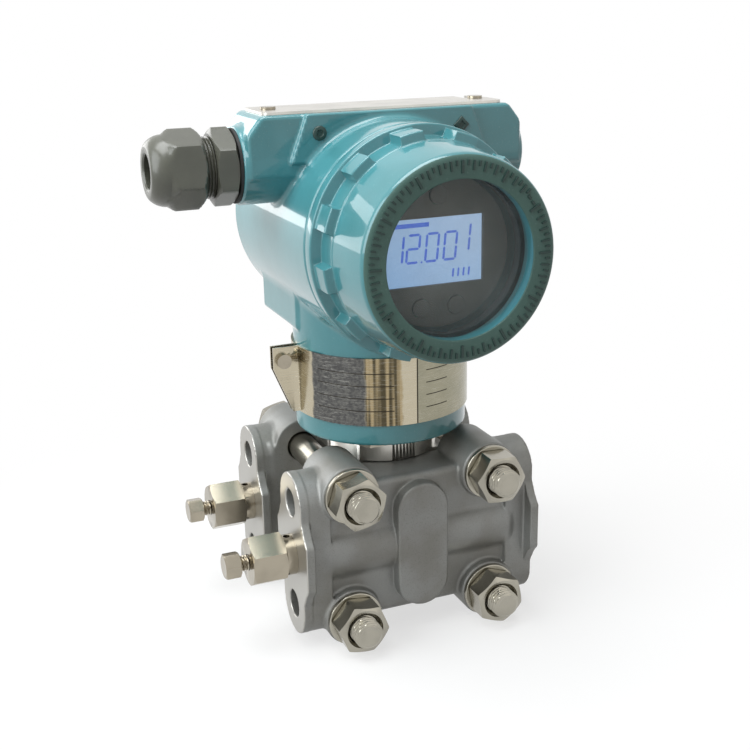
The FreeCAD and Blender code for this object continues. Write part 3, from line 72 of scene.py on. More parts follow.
# %% [markdown]
# Where things are
# ----------------
# The frame's origin is the middle of the connection face, so the neck stands a little to the left of
# it.  All the places that the pieces share come from the solids' own boxes.  Sizes below are in
# millimetres, and `MM` turns them into Blender's metres at the last moment.

# %% The shared axes
MM = 0.001


def middle(node):
    """The centre of a solid's box, in millimetres."""
    low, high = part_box(node)
    return np.array((low + high) / 2) / MM


def reach(node):
    """A solid's lowest and highest corners, in millimetres."""
    low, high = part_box(node)
    return np.array(low) / MM, np.array(high) / MM


neck_x = middle("main_board")[0]
barrel_z = middle("main_board")[2]
conduit_z = middle("gland_washer")[2]
flange_reach = reach("flange_front")[1][0] - neck_x
port_y = abs(middle("vent_stem_front")[1])
print(f"neck axis x {neck_x:.1f}, barrel axis z {barrel_z:.1f}, conduit axis z {conduit_z:.1f} mm")

# %% [markdown]
# The camera
# ----------
# A product shot from the left and a little above, with a short telephoto lens.  The camera is placed by
# the compass angle, the height angle and the distance from the point that it looks at, and it leans by
# about one degree, as a hand-held one does.

# %% Place the camera
look_at = Vector((neck_x - 2.0, 0.0, 55.9)) * MM
azimuth, elevation, lean = (math.radians(angle) for angle in (-22.06, 17.77, -1.13))
distance = 0.4642
backward = Vector((math.sin(azimuth) * math.cos(elevation), -math.cos(azimuth) * math.cos(elevation),
                   math.sin(elevation)))
level = (-backward).cross(Vector((0, 0, 1))).normalized()
upward = level.cross(-backward)
right = math.cos(lean) * level + math.sin(lean) * upward
top = math.cos(lean) * upward - math.sin(lean) * level
camera_data = bpy.data.cameras.new("camera")
camera_data.sensor_width = 36.0
camera_data.lens = 56.64
camera_data.clip_start = 0.01
camera = bpy.data.objects.new("camera", camera_data)
place = Matrix.Identity(4)
for column, vector in enumerate((right, top, backward, look_at + distance * backward)):
    for row in range(3):
        place[row][column] = vector[row]
camera.matrix_world = place
bpy.context.scene.collection.objects.link(camera)
bpy.context.scene.camera = camera
print("camera at", [round(c, 3) for c in camera.location])

# %% [markdown]
# Shader maths as plain Python
# ----------------------------
# A material is a graph of nodes.  Writing `1 - mask` is easier to read than wiring a Math node, so a
# small class wraps one socket and turns arithmetic into nodes.  Every other node comes from `node`,
# which takes its type, its settings and what goes into its sockets.

# %% The wire class
class Wire:
    """A socket in a material's graph; arithmetic on it adds Math nodes."""

    def __init__(self, tree, socket=None):
        self.tree, self.socket = tree, socket

    def node(self, kind, settings=(), out=0, **into):
        """Adds a node.  Its settings come first, then the values or links of its sockets."""
        made = self.tree.nodes.new(kind)
        for name, value in dict(settings).items():
            setattr(made, name, value)
        for name, value in into.items():
            number = name.removeprefix("s")
            socket = made.inputs[int(number) if number.isdigit() else name.replace("_", " ")]
            if isinstance(value, Wire):
                self.tree.links.new(value.socket, socket)
            else:
                socket.default_value = value
        return Wire(self.tree, made.outputs[out])

    def math(self, operation, one, two=0.0):
        return self.node("ShaderNodeMath", {"operation": operation}, s0=one, s1=two)

    def __add__(self, other):
        return self.math("ADD", self, other)

    def __sub__(self, other):
        return self.math("SUBTRACT", self, other)

    def __rsub__(self, other):
        return self.math("SUBTRACT", other, self)

    def __mul__(self, other):
        return self.math("MULTIPLY", self, other)

    def __truediv__(self, other):
        return self.math("DIVIDE", self, other)

    __radd__, __rmul__ = __add__, __mul__

    def above(self, edge, soft):
        """0 below the edge and 1 above it, with a soft step between."""
        return self.node("ShaderNodeMapRange", {"interpolation_type": "SMOOTHSTEP"},
                         s0=self, s1=edge - soft / 2, s2=edge + soft / 2, s3=0.0, s4=1.0)

    def between(self, low, high, soft):
        """1 between two values and 0 outside them."""
        return self.above(low, soft) * (1 - self.above(high, soft))

    def mix(self, one, two):
        """A colour that runs from one to two as this value runs from 0 to 1."""
        return self.node("ShaderNodeMix", {"data_type": "RGBA"}, out=2, s0=self, s6=one, s7=two)


def shade(red, green, blue):
    """A colour as a paint chart gives it, 0 to 255, made linear: ((c + 0.055) / 1.055) to the 2.4."""
    return tuple(((c / 255 + 0.055) / 1.055) ** 2.4 for c in (red, green, blue))


def rgba(colour):
    return (*colour, 1.0)


print("paint chart grey 128 is", [round(c, 3) for c in shade(128, 128, 128)])

# %% [markdown]
# A helper for finishes
# ---------------------
# Each finish is one Principled shader.  What varies over the surface is a function of the place on the
# object, so it reads Object coordinates: noise at the scale of the real grain, masks by position for a
# face that was machined, and a bump made from the same noise.

# %% Start a material
class Finish(Wire):
    """A new material with the coordinates that its pattern reads."""

    def __init__(self, name):
        self.material = bpy.data.materials.new(name)
        self.material.use_nodes = True
        super().__init__(self.material.node_tree)
        self.tree.nodes.clear()
        self.place = self.node("ShaderNodeTexCoord", out=3)
        split = self.node("ShaderNodeSeparateXYZ", Vector=self.place)
        outputs = split.socket.node.outputs
        self.x, self.y, self.z = (Wire(self.tree, outputs[i]) * (1 / MM) for i in range(3))

    def noise(self, size, detail=2.0, stretch=(1, 1, 1)):
        """Noise whose lumps are about `size` millimetres, stretched by a factor along X, Y and Z."""
        scale = tuple(1 / (size * MM * s) for s in stretch)
        where = self.node("ShaderNodeMapping", Vector=self.place, Scale=scale)
        return self.node("ShaderNodeTexNoise", Vector=where, Scale=1.0, Detail=detail)

    def radius_from(self, x, y, z, along):
        """Distance from an axis through (x, y, z) that runs along one of X, Y or Z."""
        one, two = {"X": (self.y - y, self.z - z), "Y": (self.x - x, self.z - z),
                    "Z": (self.x - x, self.y - y)}[along]
        return self.math("SQRT", one * one + two * two)

    def bump(self, height, depth):
        """A normal from a height that runs 0 to 1, `depth` millimetres deep."""
        return self.node("ShaderNodeBump", Height=height, Distance=depth * MM, Strength=1.0)

    def close(self, **sockets):
        """Adds the Principled shader and the output."""
        names = {name.replace("_", " ") for name in sockets}
        shader = self.tree.nodes.new("ShaderNodeBsdfPrincipled")
        for name in names:
            value = sockets[name.replace(" ", "_")]
            if isinstance(value, Wire):
                self.tree.links.new(value.socket, shader.inputs[name])
            else:
                shader.inputs[name].default_value = value
        output = self.tree.nodes.new("ShaderNodeOutputMaterial")
        self.tree.links.new(shader.outputs[0], output.inputs[0])
        return self.material


# %% [markdown]
# Blue-green enamel
# -----------------
# The aluminium castings are coated with a thick glossy enamel.  It pools into a faint orange-peel, a
# slow ripple a few millimetres long, and it carries a little dust.  The gloss is a clear coat: a sharp
# pale reflection over a deep colour.  The front ring of the window cover stays flatter and greyer, so
# its finish is a second material, and the raised marks are a third, darker one: their darkness is
# painted shade for the shadow round raised marks.

# %% Enamel, glossy and flat
def enamel(name, colour, dull, roughness, coat):
    finish = Finish(name)
    cloud = finish.noise(26, 3)
    peel = finish.noise(2.6, 2)
    dust = finish.noise(0.7, 1).above(0.7, 0.06)
    body = cloud.above(0.5, 0.5).mix(rgba(colour), rgba(dull))
    tint = (dust * 0.08).mix(body, rgba(shade(176, 206, 206)))
    rough = roughness + 0.07 * cloud + 0.1 * dust
    return finish.close(Base_Color=tint, Roughness=rough, Coat_Weight=coat, Coat_Roughness=0.05,
                        Coat_IOR=1.5, Specular_IOR_Level=0.3, Normal=finish.bump(peel, 0.03))


enamel_gloss = enamel("enamel", shade(70, 140, 148), shade(62, 128, 134), 0.35, 1.0)
enamel_flat = enamel("enamel_flat", shade(78, 112, 104), shade(70, 102, 95), 0.45, 0.25)
# The marks' darker colour is painted shade, for the shadow round raised marks.
enamel_mark_painted_shade = enamel("enamel_mark_painted_shade", shade(46, 70, 65), shade(40, 62, 58), 0.45, 0.25)
print("made", enamel_gloss.name, enamel_flat.name, "and", enamel_mark_painted_shade.name)

# %% [markdown]
# Cast and machined stainless steel
# ---------------------------------
# The flanges are investment castings, blasted with beads to an even grey grain.  Only the end faces
# and the bolt seats are cut afterwards: they are brighter and show the cutter's rings.  A mask by
# position picks the two end faces, which get a brighter colour and fine straight lines; the bolt seats
# keep the blasted grain.

# %% Blasted casting
def blasted(name):
    finish = Finish(name)
    grain = finish.noise(0.34, 2)
    stain = finish.noise(17, 4)
    end = flange_reach - 0.35
    across = finish.x - neck_x
    machined = finish.math("ABSOLUTE", across).above(end, 0.2)
    casting = stain.above(0.5, 0.45).mix(rgba(shade(150, 151, 149)), rgba(shade(134, 133, 128)))
    pits = grain.above(0.62, 0.12)
    cast_tint = (pits * 0.35).mix(casting, rgba(shade(96, 94, 90)))
    tint = machined.mix(cast_tint, rgba(shade(176, 174, 168)))
    height = grain * (1 - machined) + 0.15 * finish.noise(0.5, 1, (1, 6, 1)) * machined
    rough = 0.5 - 0.17 * machined + 0.12 * (stain - 0.5)
    return finish.close(Base_Color=tint, Roughness=rough, Metallic=0.45 + 0.45 * machined,
                        Normal=finish.bump(height, 0.05))


cast_steel = blasted("blasted_steel")


def bright_steel(name, colour, roughness, grain_along):
    """Turned steel: fine lines along one direction and a few handling marks."""
    finish = Finish(name)
    stretch = tuple(14 if axis == grain_along else 1 for axis in "XYZ")
    lines = finish.noise(0.35, 2, stretch)
    smear = finish.noise(9, 2)
    dull = tuple(c * 0.88 for c in colour)
    tint = smear.above(0.52, 0.3).mix(rgba(colour), rgba(dull))
    rough = roughness + 0.1 * (lines - 0.4) + 0.06 * (smear - 0.4)
    return finish.close(Base_Color=tint, Roughness=rough, Metallic=1.0, Normal=finish.bump(lines, 0.006))


nut_steel = bright_steel("nut_steel", shade(166, 162, 150), 0.2, "Y")
valve_steel = bright_steel("valve_steel", shade(166, 158, 142), 0.18, "X")
plate_steel = bright_steel("plate_steel", shade(206, 203, 196), 0.3, "X")
collar_steel = bright_steel("collar_steel", shade(182, 176, 162), 0.42, "Z")
print("made the steels")

# %% [markdown]
# The polished name band
# ----------------------
# The band is thin sheet with a mirror finish.  It carries fields ruled with engraved lines, left bare
# here, and years of wiping have left it covered in short, slanted hairline scratches: noise stretched
# some forty times along one direction and cut to its peaks.  Reflections are painted into the sheet's
# colour: from the ear round to the front a painted dark reflection, then a painted brown one with
# upright streaks, then a painted pale one.

# %% Polished sheet
def polished_sheet(name):
    finish = Finish(name)
    low, high = reach("band_nameplate")
    turn = finish.math("ARCTAN2", finish.x - neck_x, -1 * finish.y) * (180 / math.pi)
    along = turn * 0.59
    up = finish.z - low[2]
    flat = finish.node("ShaderNodeCombineXYZ", X=along, Y=up, Z=0.0)

    def scratches(size, length, slant, cut):
        where = finish.node("ShaderNodeMapping", Vector=flat, Rotation=(0, 0, math.radians(slant)),
                            Scale=(1 / length, 1 / size, 1))
        return finish.node("ShaderNodeTexNoise", Vector=where, Scale=1.0, Detail=1.0).above(cut, 0.05)

    hair = scratches(0.16, 7, 28, 0.66) + scratches(0.2, 5, -35, 0.68)
    haze = finish.noise(6, 4)
    divider = along.between(0.6, 1.1, 0.15)
    rulings = sum((up.between(h, h + 0.35, 0.15) for h in (5.6, 10.4, 15.2, 20.0)), finish.z * 0)
    fields = along.between(-38.0, -8.0, 0.3) + along.between(4.5, 14.5, 0.3)
    engraved = finish.math("MINIMUM", divider + rulings * fields, 1.0)
    # Painted reflections: three zones round the band, dark, then brown with streaks, then pale.
    wobble = along + 3 * (haze - 0.5)
    painted_dark_zone = wobble.between(-41.0, -18.5, 1.2)
    painted_brown_zone = wobble.between(-18.5, -5.2, 1.0)
    painted_right_zone = along.between(1.0, 40.0, 0.4)
    upright = finish.node("ShaderNodeMapping", Vector=flat, Scale=(1 / 2.2, 1 / 90, 1))
    streak = finish.node("ShaderNodeTexNoise", Vector=upright, Scale=1.0, Detail=1.0).above(0.53, 0.2)
    mottle = finish.noise(1.1, 4).above(0.5, 0.3)
    # The colours of the painted reflections; only the hairline scratches below are real wear.
    painted_pale_reflection = (painted_right_zone * (0.6 + 0.4 * haze)).mix(rgba(shade(188, 179, 157)), rgba(shade(140, 138, 120)))
    dark = mottle.mix(rgba(shade(82, 82, 82)), rgba(shade(106, 106, 103)))
    brown = streak.mix(rgba(shade(82, 75, 58)), rgba(shade(166, 150, 118)))
    steel = painted_dark_zone.mix(painted_brown_zone.mix(painted_pale_reflection, brown), dark)
    scratches_over_reflections = (finish.math("MINIMUM", hair, 1.0) * 0.25).mix(steel, rgba(shade(226, 223, 214)))
    tint = engraved.mix(scratches_over_reflections, rgba(shade(52, 48, 42)))
    rough = 0.16 + 0.1 * haze + 0.2 * hair + 0.3 * engraved
    return finish.close(Base_Color=tint, Roughness=rough, Metallic=1.0,
                        Normal=finish.bump(1 - 0.3 * hair - engraved, 0.03))


sheet_steel = polished_sheet("polished_sheet")

# %% [markdown]
# Plastics, rubber, glass and the screen
# --------------------------------------
# The gland is moulded nylon, a warm dark grey with a soft shine.  The display's bezel is a flat
# grey-brown moulding.  The window is clear glass: it is drawn as a thin see-through sheet, which keeps
# the light on the display behind it.  The screen gives its own light.

# %% Moulded and clear materials
def moulded(name, colour, roughness, grain, depth, coat=0.0):
    finish = Finish(name)
    cloud = finish.noise(9, 3)
    fine = finish.noise(grain, 2)
    darker = tuple(c * 0.82 for c in colour)
    tint = cloud.above(0.5, 0.4).mix(rgba(colour), rgba(darker))
    return finish.close(Base_Color=tint, Roughness=roughness + 0.12 * (fine - 0.4),
                        Coat_Weight=coat, Coat_Roughness=0.15, Normal=finish.bump(fine, depth))


nylon = moulded("grey_nylon", shade(84, 85, 75), 0.34, 0.5, 0.02, coat=0.35)
rubber = moulded("black_rubber", shade(24, 24, 24), 0.6, 0.3, 0.02)
bezel_plastic = moulded("bezel_plastic", shade(92, 88, 80), 0.55, 0.3, 0.02)
key_plastic = moulded("key_plastic", shade(84, 80, 73), 0.45, 0.3, 0.015)
black_plastic = moulded("black_plastic", shade(30, 30, 31), 0.42, 0.4, 0.02)
board_green = moulded("board_green", shade(30, 96, 58), 0.35, 0.8, 0.02, coat=0.3)
brass = bright_steel("plain_brass", shade(205, 170, 96), 0.28, "Y")


def clear_glass(name):
    finish = Finish(name)
    smudge = finish.noise(14, 3)
    return finish.close(Base_Color=rgba(shade(210, 220, 220)), Roughness=0.03 + 0.05 * smudge,
                        Alpha=0.1 + 0.05 * smudge.above(0.55, 0.3))


def lit_screen(name):
    finish = Finish(name)
    low, high = reach("lcd_panel")
    sideways = (finish.x - low[0]) / (high[0] - low[0])
    upward_share = (finish.z - low[2]) / (high[2] - low[2])
    cells = finish.noise(0.5, 1)
    glow = 0.55 * sideways + 0.45 * upward_share
    tint = glow.mix(rgba(shade(146, 188, 232)), rgba(shade(186, 214, 246)))
    lit = (0.12 * cells).mix(tint, rgba(shade(120, 160, 220)))
    return finish.close(Base_Color=rgba(shade(60, 80, 110)), Roughness=0.25 + 0.05 * cells,
                        Emission_Color=lit, Emission_Strength=0.74)


def lit_figure(name):
    finish = Finish(name)
    edge = finish.noise(1.2, 2)
    tint = edge.above(0.5, 0.5).mix(rgba(shade(52, 92, 204)), rgba(shade(74, 116, 214)))
    return finish.close(Base_Color=rgba(shade(30, 50, 120)), Roughness=0.3, Emission_Color=tint,
                        Emission_Strength=0.8)


glass = clear_glass("clear_glass")
screen = lit_screen("lit_screen")
figure_blue = lit_figure("figure_blue")
print("made the plastics, the glass and the screen")

# %% [markdown]
# Two ways to make a mesh
# -----------------------
# Most new pieces are grids: a profile of rings carried round an axis, worked out as one array of
# points.  `turned` takes rings of (place along the axis, radius); either may change with the angle, so
# the same function makes a plain washer, a nut with its hexagon, or a thread.

# %% Grid meshes
def as_piece(name, mesh, material, body, stands_for=(), sharp=34):
    """Links a finished mesh as an object that rides on a body."""
    mesh.materials.append(material)
    mesh.polygons.foreach_set("use_smooth", np.ones(len(mesh.polygons), bool))
    if sharp:
        mesh.set_sharp_from_angle(angle=math.radians(sharp))
    piece = bpy.data.objects.new(name, mesh)
    bpy.context.scene.collection.objects.link(piece)
    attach(piece, body)
    if stands_for:
        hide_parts(*stands_for)
    print(f"{name}: {len(mesh.polygons)} faces")


def quads_of(rows, columns, close_rows, close_columns):
    """The four corners of each cell in a grid whose points are numbered row by row."""
    row = np.arange(rows if close_rows else rows - 1)[:, None]
    column = np.arange(columns if close_columns else columns - 1)[None, :]
    next_row, next_column = (row + 1) % rows, (column + 1) % columns
    corners = (row * columns + column, next_row * columns + column,
               next_row * columns + next_column, row * columns + next_column)
    return np.stack(np.broadcast_arrays(*corners), -1).reshape(-1, 4)


def mesh_from(name, points, quads):
    """A mesh of four-cornered faces from points in millimetres."""
    mesh = bpy.data.meshes.new(name)
    mesh.vertices.add(len(points))
    mesh.vertices.foreach_set("co", (points * MM).astype(np.float32).ravel())
    mesh.loops.add(quads.size)
    mesh.loops.foreach_set("vertex_index", quads.astype(np.int32).ravel())
    mesh.polygons.add(len(quads))
    mesh.polygons.foreach_set("loop_start", np.arange(0, quads.size, 4, dtype=np.int32))
    mesh.update(calc_edges=True)
    return mesh


def tidy_mesh(mesh):
    """Merges points that coincide, drops faces that vanish and turns the faces outward."""
    work = bmesh.new()
    work.from_mesh(mesh)
    bmesh.ops.remove_doubles(work, verts=work.verts, dist=1e-6)
    bmesh.ops.dissolve_degenerate(work, edges=work.edges, dist=1e-7)
    bmesh.ops.recalc_face_normals(work, faces=work.faces)
    work.to_mesh(mesh)
    work.free()
    return mesh


def join_meshes(name, meshes):
    """One mesh from several."""
    work = bmesh.new()
    for mesh in meshes:
        work.from_mesh(mesh)
    joined = bpy.data.meshes.new(name)
    work.to_mesh(joined)
    work.free()
    return joined


def turned(name, axis, centre, rings, columns=72, closed=True, turn=0.0):
    """Rings of (along, radius) round an axis: point = centre + along * axis + radius * (cos, sin).

    A closed profile joins its last ring to its first; an open one ends on the axis at radius 0."""
    angle = np.arange(columns) * 2 * math.pi / columns
    along = np.array([np.broadcast_to(ring[0], columns) for ring in rings], float)
    radius = np.array([np.broadcast_to(ring[1], columns) for ring in rings], float)
    one, two = radius * np.cos(angle + turn), radius * np.sin(angle + turn)
    order = {"X": (along, one, two), "Y": (two, along, one), "Z": (one, two, along)}[axis]
    points = np.stack(order, -1).reshape(-1, 3) + np.array(centre, float)
    return tidy_mesh(mesh_from(name, points, quads_of(len(rings), columns, closed, True)))


def hexagon(columns, width, sharpness=60):
    """Radius of a hexagon by its width across flats: the power mean of its three pairs of sides."""
    angle = np.arange(columns) * 2 * math.pi / columns
    sides = sum(np.abs(np.cos(angle - k * math.pi / 3) * 2 / width) ** sharpness for k in range(3))
    return sides ** (-1 / sharpness)


def rounded(corners, steps=5):
    """Rounds a profile: each (a, b, setback) corner becomes a parabola that leaves one side and joins
    the next at `setback` from the corner: (1-s)^2 start + 2s(1-s) corner + s^2 end."""
    spots = np.array([corner[:2] for corner in corners], float)
    setbacks = np.array([corner[2] for corner in corners], float)[:, None]

    def towards(neighbour):
        side = neighbour - spots
        length = np.linalg.norm(side, axis=1, keepdims=True)
        return spots + side / length * np.minimum(setbacks, 0.45 * length)

    start, end = towards(np.roll(spots, 1, 0)), towards(np.roll(spots, -1, 0))
    share = np.linspace(0, 1, steps)[None, :, None]
    curve = ((1 - share) ** 2 * start[:, None] + 2 * share * (1 - share) * spots[:, None]
             + share ** 2 * end[:, None])
    return curve.reshape(-1, 2)


# %% [markdown]
# The second way is for castings.  A cast part is a union of simple forms with a fillet wherever two of
# them meet, which is hard to draw as a grid and easy to write as a distance: for every point in space,
# how far it lies outside the surface.  `fuse` joins two distances with a round fillet, and `carve`
# takes one from the other with a round edge.  The surface is then found on a fine lattice: each cell
# that it passes through gets one point, each lattice edge that it crosses gets one face, and the points
# are slid onto the exact surface along the slope of the distance.

# %% Distances
def fuse(one, two, fillet):
    """Union of two forms: max(r, min(a, b)) - length(max(r-a, 0), max(r-b, 0))."""
    return (np.maximum(fillet, np.minimum(one, two))
            - np.hypot(np.maximum(fillet - one, 0), np.maximum(fillet - two, 0)))


def carve(base, tool, edge):
    """The base without the tool, its new edge rounded."""
    return -fuse(-base, tool, edge)


def common(one, two, edge):
    """Where both forms are, its edge rounded."""
    return -fuse(-one, -two, edge)


def span(value, low, high):
    """Distance outside the slab between two planes."""
    return np.maximum(low - value, value - high)


def drum(one, two, radius, along, low, high, edge):
    """A cylinder: distance from its axis less its radius, cut by its two ends."""
    return common(np.hypot(one, two) - radius, span(along, low, high), edge)


def casting(node, distance_to, low, high, step):
    """Surface nets: the mesh where a distance is zero, in millimetres round the neck axis."""
    axes = [np.arange(a, b + step, step) for a, b in zip(low, high)]
    inside = distance_to(*np.meshgrid(*axes, indexing="ij")) < 0
    shape = tuple(n - 1 for n in inside.shape)
    corners = sum(inside[i:shape[0] + i, j:shape[1] + j, k:shape[2] + k].astype(np.int8)
                  for i in (0, 1) for j in (0, 1) for k in (0, 1))
    crossed = (corners > 0) & (corners < 8)
    number = np.full(shape, -1)
    number[crossed] = np.arange(crossed.sum())
    points = (np.argwhere(crossed) + 0.5) * step + np.array(low)
    quads = []
    for axis in range(3):
        one, two = (axis + 1) % 3, (axis + 2) % 3
        here = np.moveaxis(inside, axis, 0)
        change = np.argwhere(here[1:] != here[:-1])
        edge = np.zeros((len(change), 3), int)
        others = [a for a in range(3) if a != axis]
        edge[:, axis], edge[:, others[0]], edge[:, others[1]] = change.T
        leaves = inside[tuple(edge.T)]
        back_one, back_two = np.eye(3, dtype=int)[one], np.eye(3, dtype=int)[two]
        ring = [number[tuple((edge - a * back_one - b * back_two).T)]
                for a, b in ((1, 1), (0, 1), (0, 0), (1, 0))]
        face = np.stack(ring, -1)
        quads.append(np.where(leaves[:, None], face, face[:, ::-1]))
    quads = np.concatenate(quads)

    def slope(at):
        nudge = 0.02
        return np.stack([distance_to(*(at + nudge * d).T) - distance_to(*(at - nudge * d).T)
                         for d in np.eye(3)], -1) / (2 * nudge)

    def settle(at, rounds):
        for _ in range(rounds):
            lean_ = slope(at)
            away = distance_to(*at.T) / np.maximum((lean_ ** 2).sum(1), 0.2)
            at = at - np.clip(away, -step, step)[:, None] * lean_
        return at

    points = settle(points, 3)
    for _ in range(2):
        total, count = np.zeros_like(points), np.zeros(len(points))
        for k in range(4):
            np.add.at(total, quads[:, k], points[quads[:, (k + 1) % 4]] + points[quads[:, k - 1]])
            np.add.at(count, quads[:, k], 2)
        points = settle(points * 0.4 + total / count[:, None] * 0.6, 3)
    facing = slope(points)
    facing /= np.maximum(np.linalg.norm(facing, axis=1, keepdims=True), 1e-9)
    mesh = mesh_from(f"{node}_cast", np.clip(points + np.array((neck_x, 0, 0)), *reach(node)), quads)
    mesh.polygons.foreach_set("use_smooth", np.ones(len(quads), bool))
    mesh.normals_split_custom_set_from_vertices(facing)
    return mesh


# %% [markdown]
# Solids that only need a polish
# ------------------------------
# A plate, a screw or a board has its true shape in the solid model already.  Its mesh comes as loose
# triangles, so a copy is merged and shaded smooth across its curves, and sharp at its edges.


def polish(node, material, sharp=28):
    """A merged copy of a solid, shaded smooth across its curves."""
    mesh = frame["nodes"][node].data.copy()
    mesh.materials.clear()
    work = bmesh.new()
    work.from_mesh(mesh)
    bmesh.ops.remove_doubles(work, verts=work.verts, dist=2e-6)
    bmesh.ops.dissolve_limit(work, angle_limit=math.radians(0.5), verts=work.verts, edges=work.edges)
    work.to_mesh(mesh)
    work.free()
    body = frame["nodes"][node]["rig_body"]
    as_piece(f"{node}_finished", mesh, material, body, (node,), sharp)


def paint(node, material):
    """A solid that stays as it is gets its finish."""
    thing = frame["nodes"][node].data
    thing.materials.clear()
    thing.materials.append(material)


# %% [markdown]
# The housing
# -----------
# One aluminium casting: the barrel lies on the neck, the square skirt backs the neck, and the conduit
# box runs across the top with a round boss at each end and a raised panel on its face.  The two
# compartments, the conduit threads, the neck's socket and the adjuster bores are cut into it.

# %% Cast the housing
barrel_radius, barrel_front, barrel_back = 41.3, -35.4, 50.3
neck_radius, neck_foot = 33.45, 38.5
skirt_half, skirt_foot, skirt_top = 34.5, 78.6, 105.0
box_half, box_deep, box_top = 53.3, 14.5, 159.3
conduit_boss, conduit_boss_end = 14.0, 54.5
panel_y = -16.0
far = 80.0


def housing_distance(x, y, z):
    """Barrel, neck and skirt joined, then the conduit box with its bosses and panel, then the bores."""
    rise, up = z - barrel_z, z - conduit_z
    barrel = drum(x, rise, barrel_radius, y, barrel_front, barrel_back, 1.4)
    neck = drum(x, y, neck_radius, z, neck_foot, barrel_z, 1.0)
    skirt = common(common(span(x, -skirt_half, skirt_half), span(y, -3.0, 39.0), 1.6),
                   span(z, skirt_foot, skirt_top), 1.6)
    slope_x, slope_z = 6.5 / math.hypot(6.5, 5.3), 5.3 / math.hypot(6.5, 5.3)
    corner = (np.abs(x) - 48.0) * slope_x + (z - box_top) * slope_z
    box = common(common(np.abs(x) - box_half, span(z, conduit_z - 4, box_top), 0.8), corner, 1.2)
    box = common(box, span(y, -box_deep, box_deep), 1.6)
    boss = drum(y, up, conduit_boss, np.abs(x), -1, conduit_boss_end, 0.9)
    side = (np.abs(x) - 32.0 - (box_top - z) * (6.5 / 17.0)) * 0.934
    panel = common(common(side, span(z, box_top - 17.0, box_top), 0.7), span(y, panel_y, 0), 0.7)
    form = fuse(fuse(barrel, neck, 1.6), skirt, 1.2)
    head = fuse(fuse(box, boss, 1.0), panel, 0.9)
    form = fuse(form, head, 2.2)
    bores = [((x, rise, 36.2, y, -60.0, -15.0, 0.3), 0.5), ((x, rise, 38.55, y, -60.0, -32.9, 0.2), 0.4),
             ((x, rise, 34.6, y, -11.5, far, 0.3), 0.5), ((x, rise, 36.95, y, 47.8, far, 0.2), 0.4),
             ((y, up, 10.4, np.abs(x), 17.3, far, 0.2), 0.4), ((x, y, 22.0, z, 0.0, 66.0, 0.3), 0.5),
             ((x, y + 18.5, 3.0, z, 60.0, 86.0, 0.1), 0.3),
             ((np.abs(x) - 27.0, y, 4.15, z, 151.7, 180.0, 0.2), 0.3)]
    for bore, edge in bores:
        form = carve(form, drum(*bore), edge)
    return form


housing_mesh = casting("housing", housing_distance, (-56.0, -38.0, 36.5), (56.0, 53.0, 162.0), 0.95)
as_piece("housing_cast", housing_mesh, enamel_gloss, "housing", ("housing",),
         sharp=0)

# %% [markdown]
# The two flanges
# ---------------
# A block with a boss for each bolt, a bar with round ends at each side for the pipe adapters, a flat
# eight-sided pad round each port, a half-round rib over the cross drilling and a raised oval on the
# face.  The rear flange is the same casting turned half round, so its distance is read at (-x, -y).

# %% Cast the flanges
bolt_x, bolt_z, hole_z = 28.2, 24.9, 20.65
inner_face, block_face, boss_face, foot = 15.5, 36.0, 39.6, 35.8
bar_width, plate_thick = 11.8, 3.6


def flange_distance(x, y, z, facing=1):
    """Block, bolt bosses, end bars, pads, rib and oval joined, then the holes; facing is 1 or -1."""
    side, deep = np.abs(x), y + port_y
    block = common(common(span(x, -41.9, 41.9), span(z, -27.5, 27.5), 1.0),
                   span(y, -block_face, -inner_face), 2.6)
    boss = drum(side - bolt_x, np.abs(z) - bolt_z, 11.2, y, -boss_face, -inner_face, 0.7)
    lobes = np.hypot(deep, np.maximum(np.abs(z) - hole_z, 0)) - 11.5
    bar = common(lobes, span(side, flange_reach - bar_width, flange_reach), 0.6)
    pad_side = (np.abs(deep) - 17.0 + (np.abs(z) - 8.8) * (5.5 / 6.0)) * 0.737
    pad = common(common(np.abs(deep) - 17.0, np.abs(z) - 14.8, 0.6), pad_side, 0.6)
    plate = common(fuse(lobes, pad, 4.0), span(side, flange_reach - plate_thick, flange_reach), 0.5)
    rib = drum(deep, z, 12.6, x, -39.5, 39.5, 3.0)
    oval = common(np.hypot(x, np.maximum(np.abs(z) - 14.7, 0)) - 10.3, span(y, -41.0, -20.0), 0.9)
    form = fuse(fuse(fuse(block, boss, 1.1), rib, 0.9), bar, 1.1)
    form = common(fuse(form, oval, 0.5), span(y, -60.0, -inner_face), 0.3)
    form = np.maximum(fuse(form, plate, 0.4), side - flange_reach + 0.02)
    form = common(form, -foot - z, 0.3)
    form = carve(form, drum(side - bolt_x, np.abs(z) - bolt_z, 5.9, y, -60.0, 0.0, 0.1), 0.5)
    tapping = np.where(x * facing < 0, 5.25, 4.95)
    form = carve(form, drum(deep, np.abs(z) - hole_z, tapping, side, flange_reach - 12.5, far, 0.2), 0.5)
    form = carve(form, drum(deep, z, 5.6, side, flange_reach - 17.0, far, 0.2), 0.5)
    return carve(form, drum(x, z, 16.0, y, -18.0, 0.0, 0.2), 0.3)


def rear_flange_distance(x, y, z):
    return flange_distance(-x, -y, z, facing=-1)


for node, distance_to, low_y, high_y in (("flange_front", flange_distance, -46.0, -8.0),
                                         ("flange_rear", rear_flange_distance, 8.0, 46.0)):
    mesh = casting(node, distance_to, (-49.5, low_y, -37.5), (49.5, high_y, 38.0), 0.7)
    as_piece(f"{node}_cast", mesh, cast_steel, "sensor", (node,), sharp=0)

# %% [markdown]
# Bolts, nuts and washers
# -----------------------
# A nut is a hexagon whose corners are turned off at 30 degrees: where the cone meets a flat it leaves a
# curved edge.  The ring at that edge is worked out for every angle, so the edge is exact.  The bolt's
# tail shows its thread, a ridge that climbs one pitch a turn.

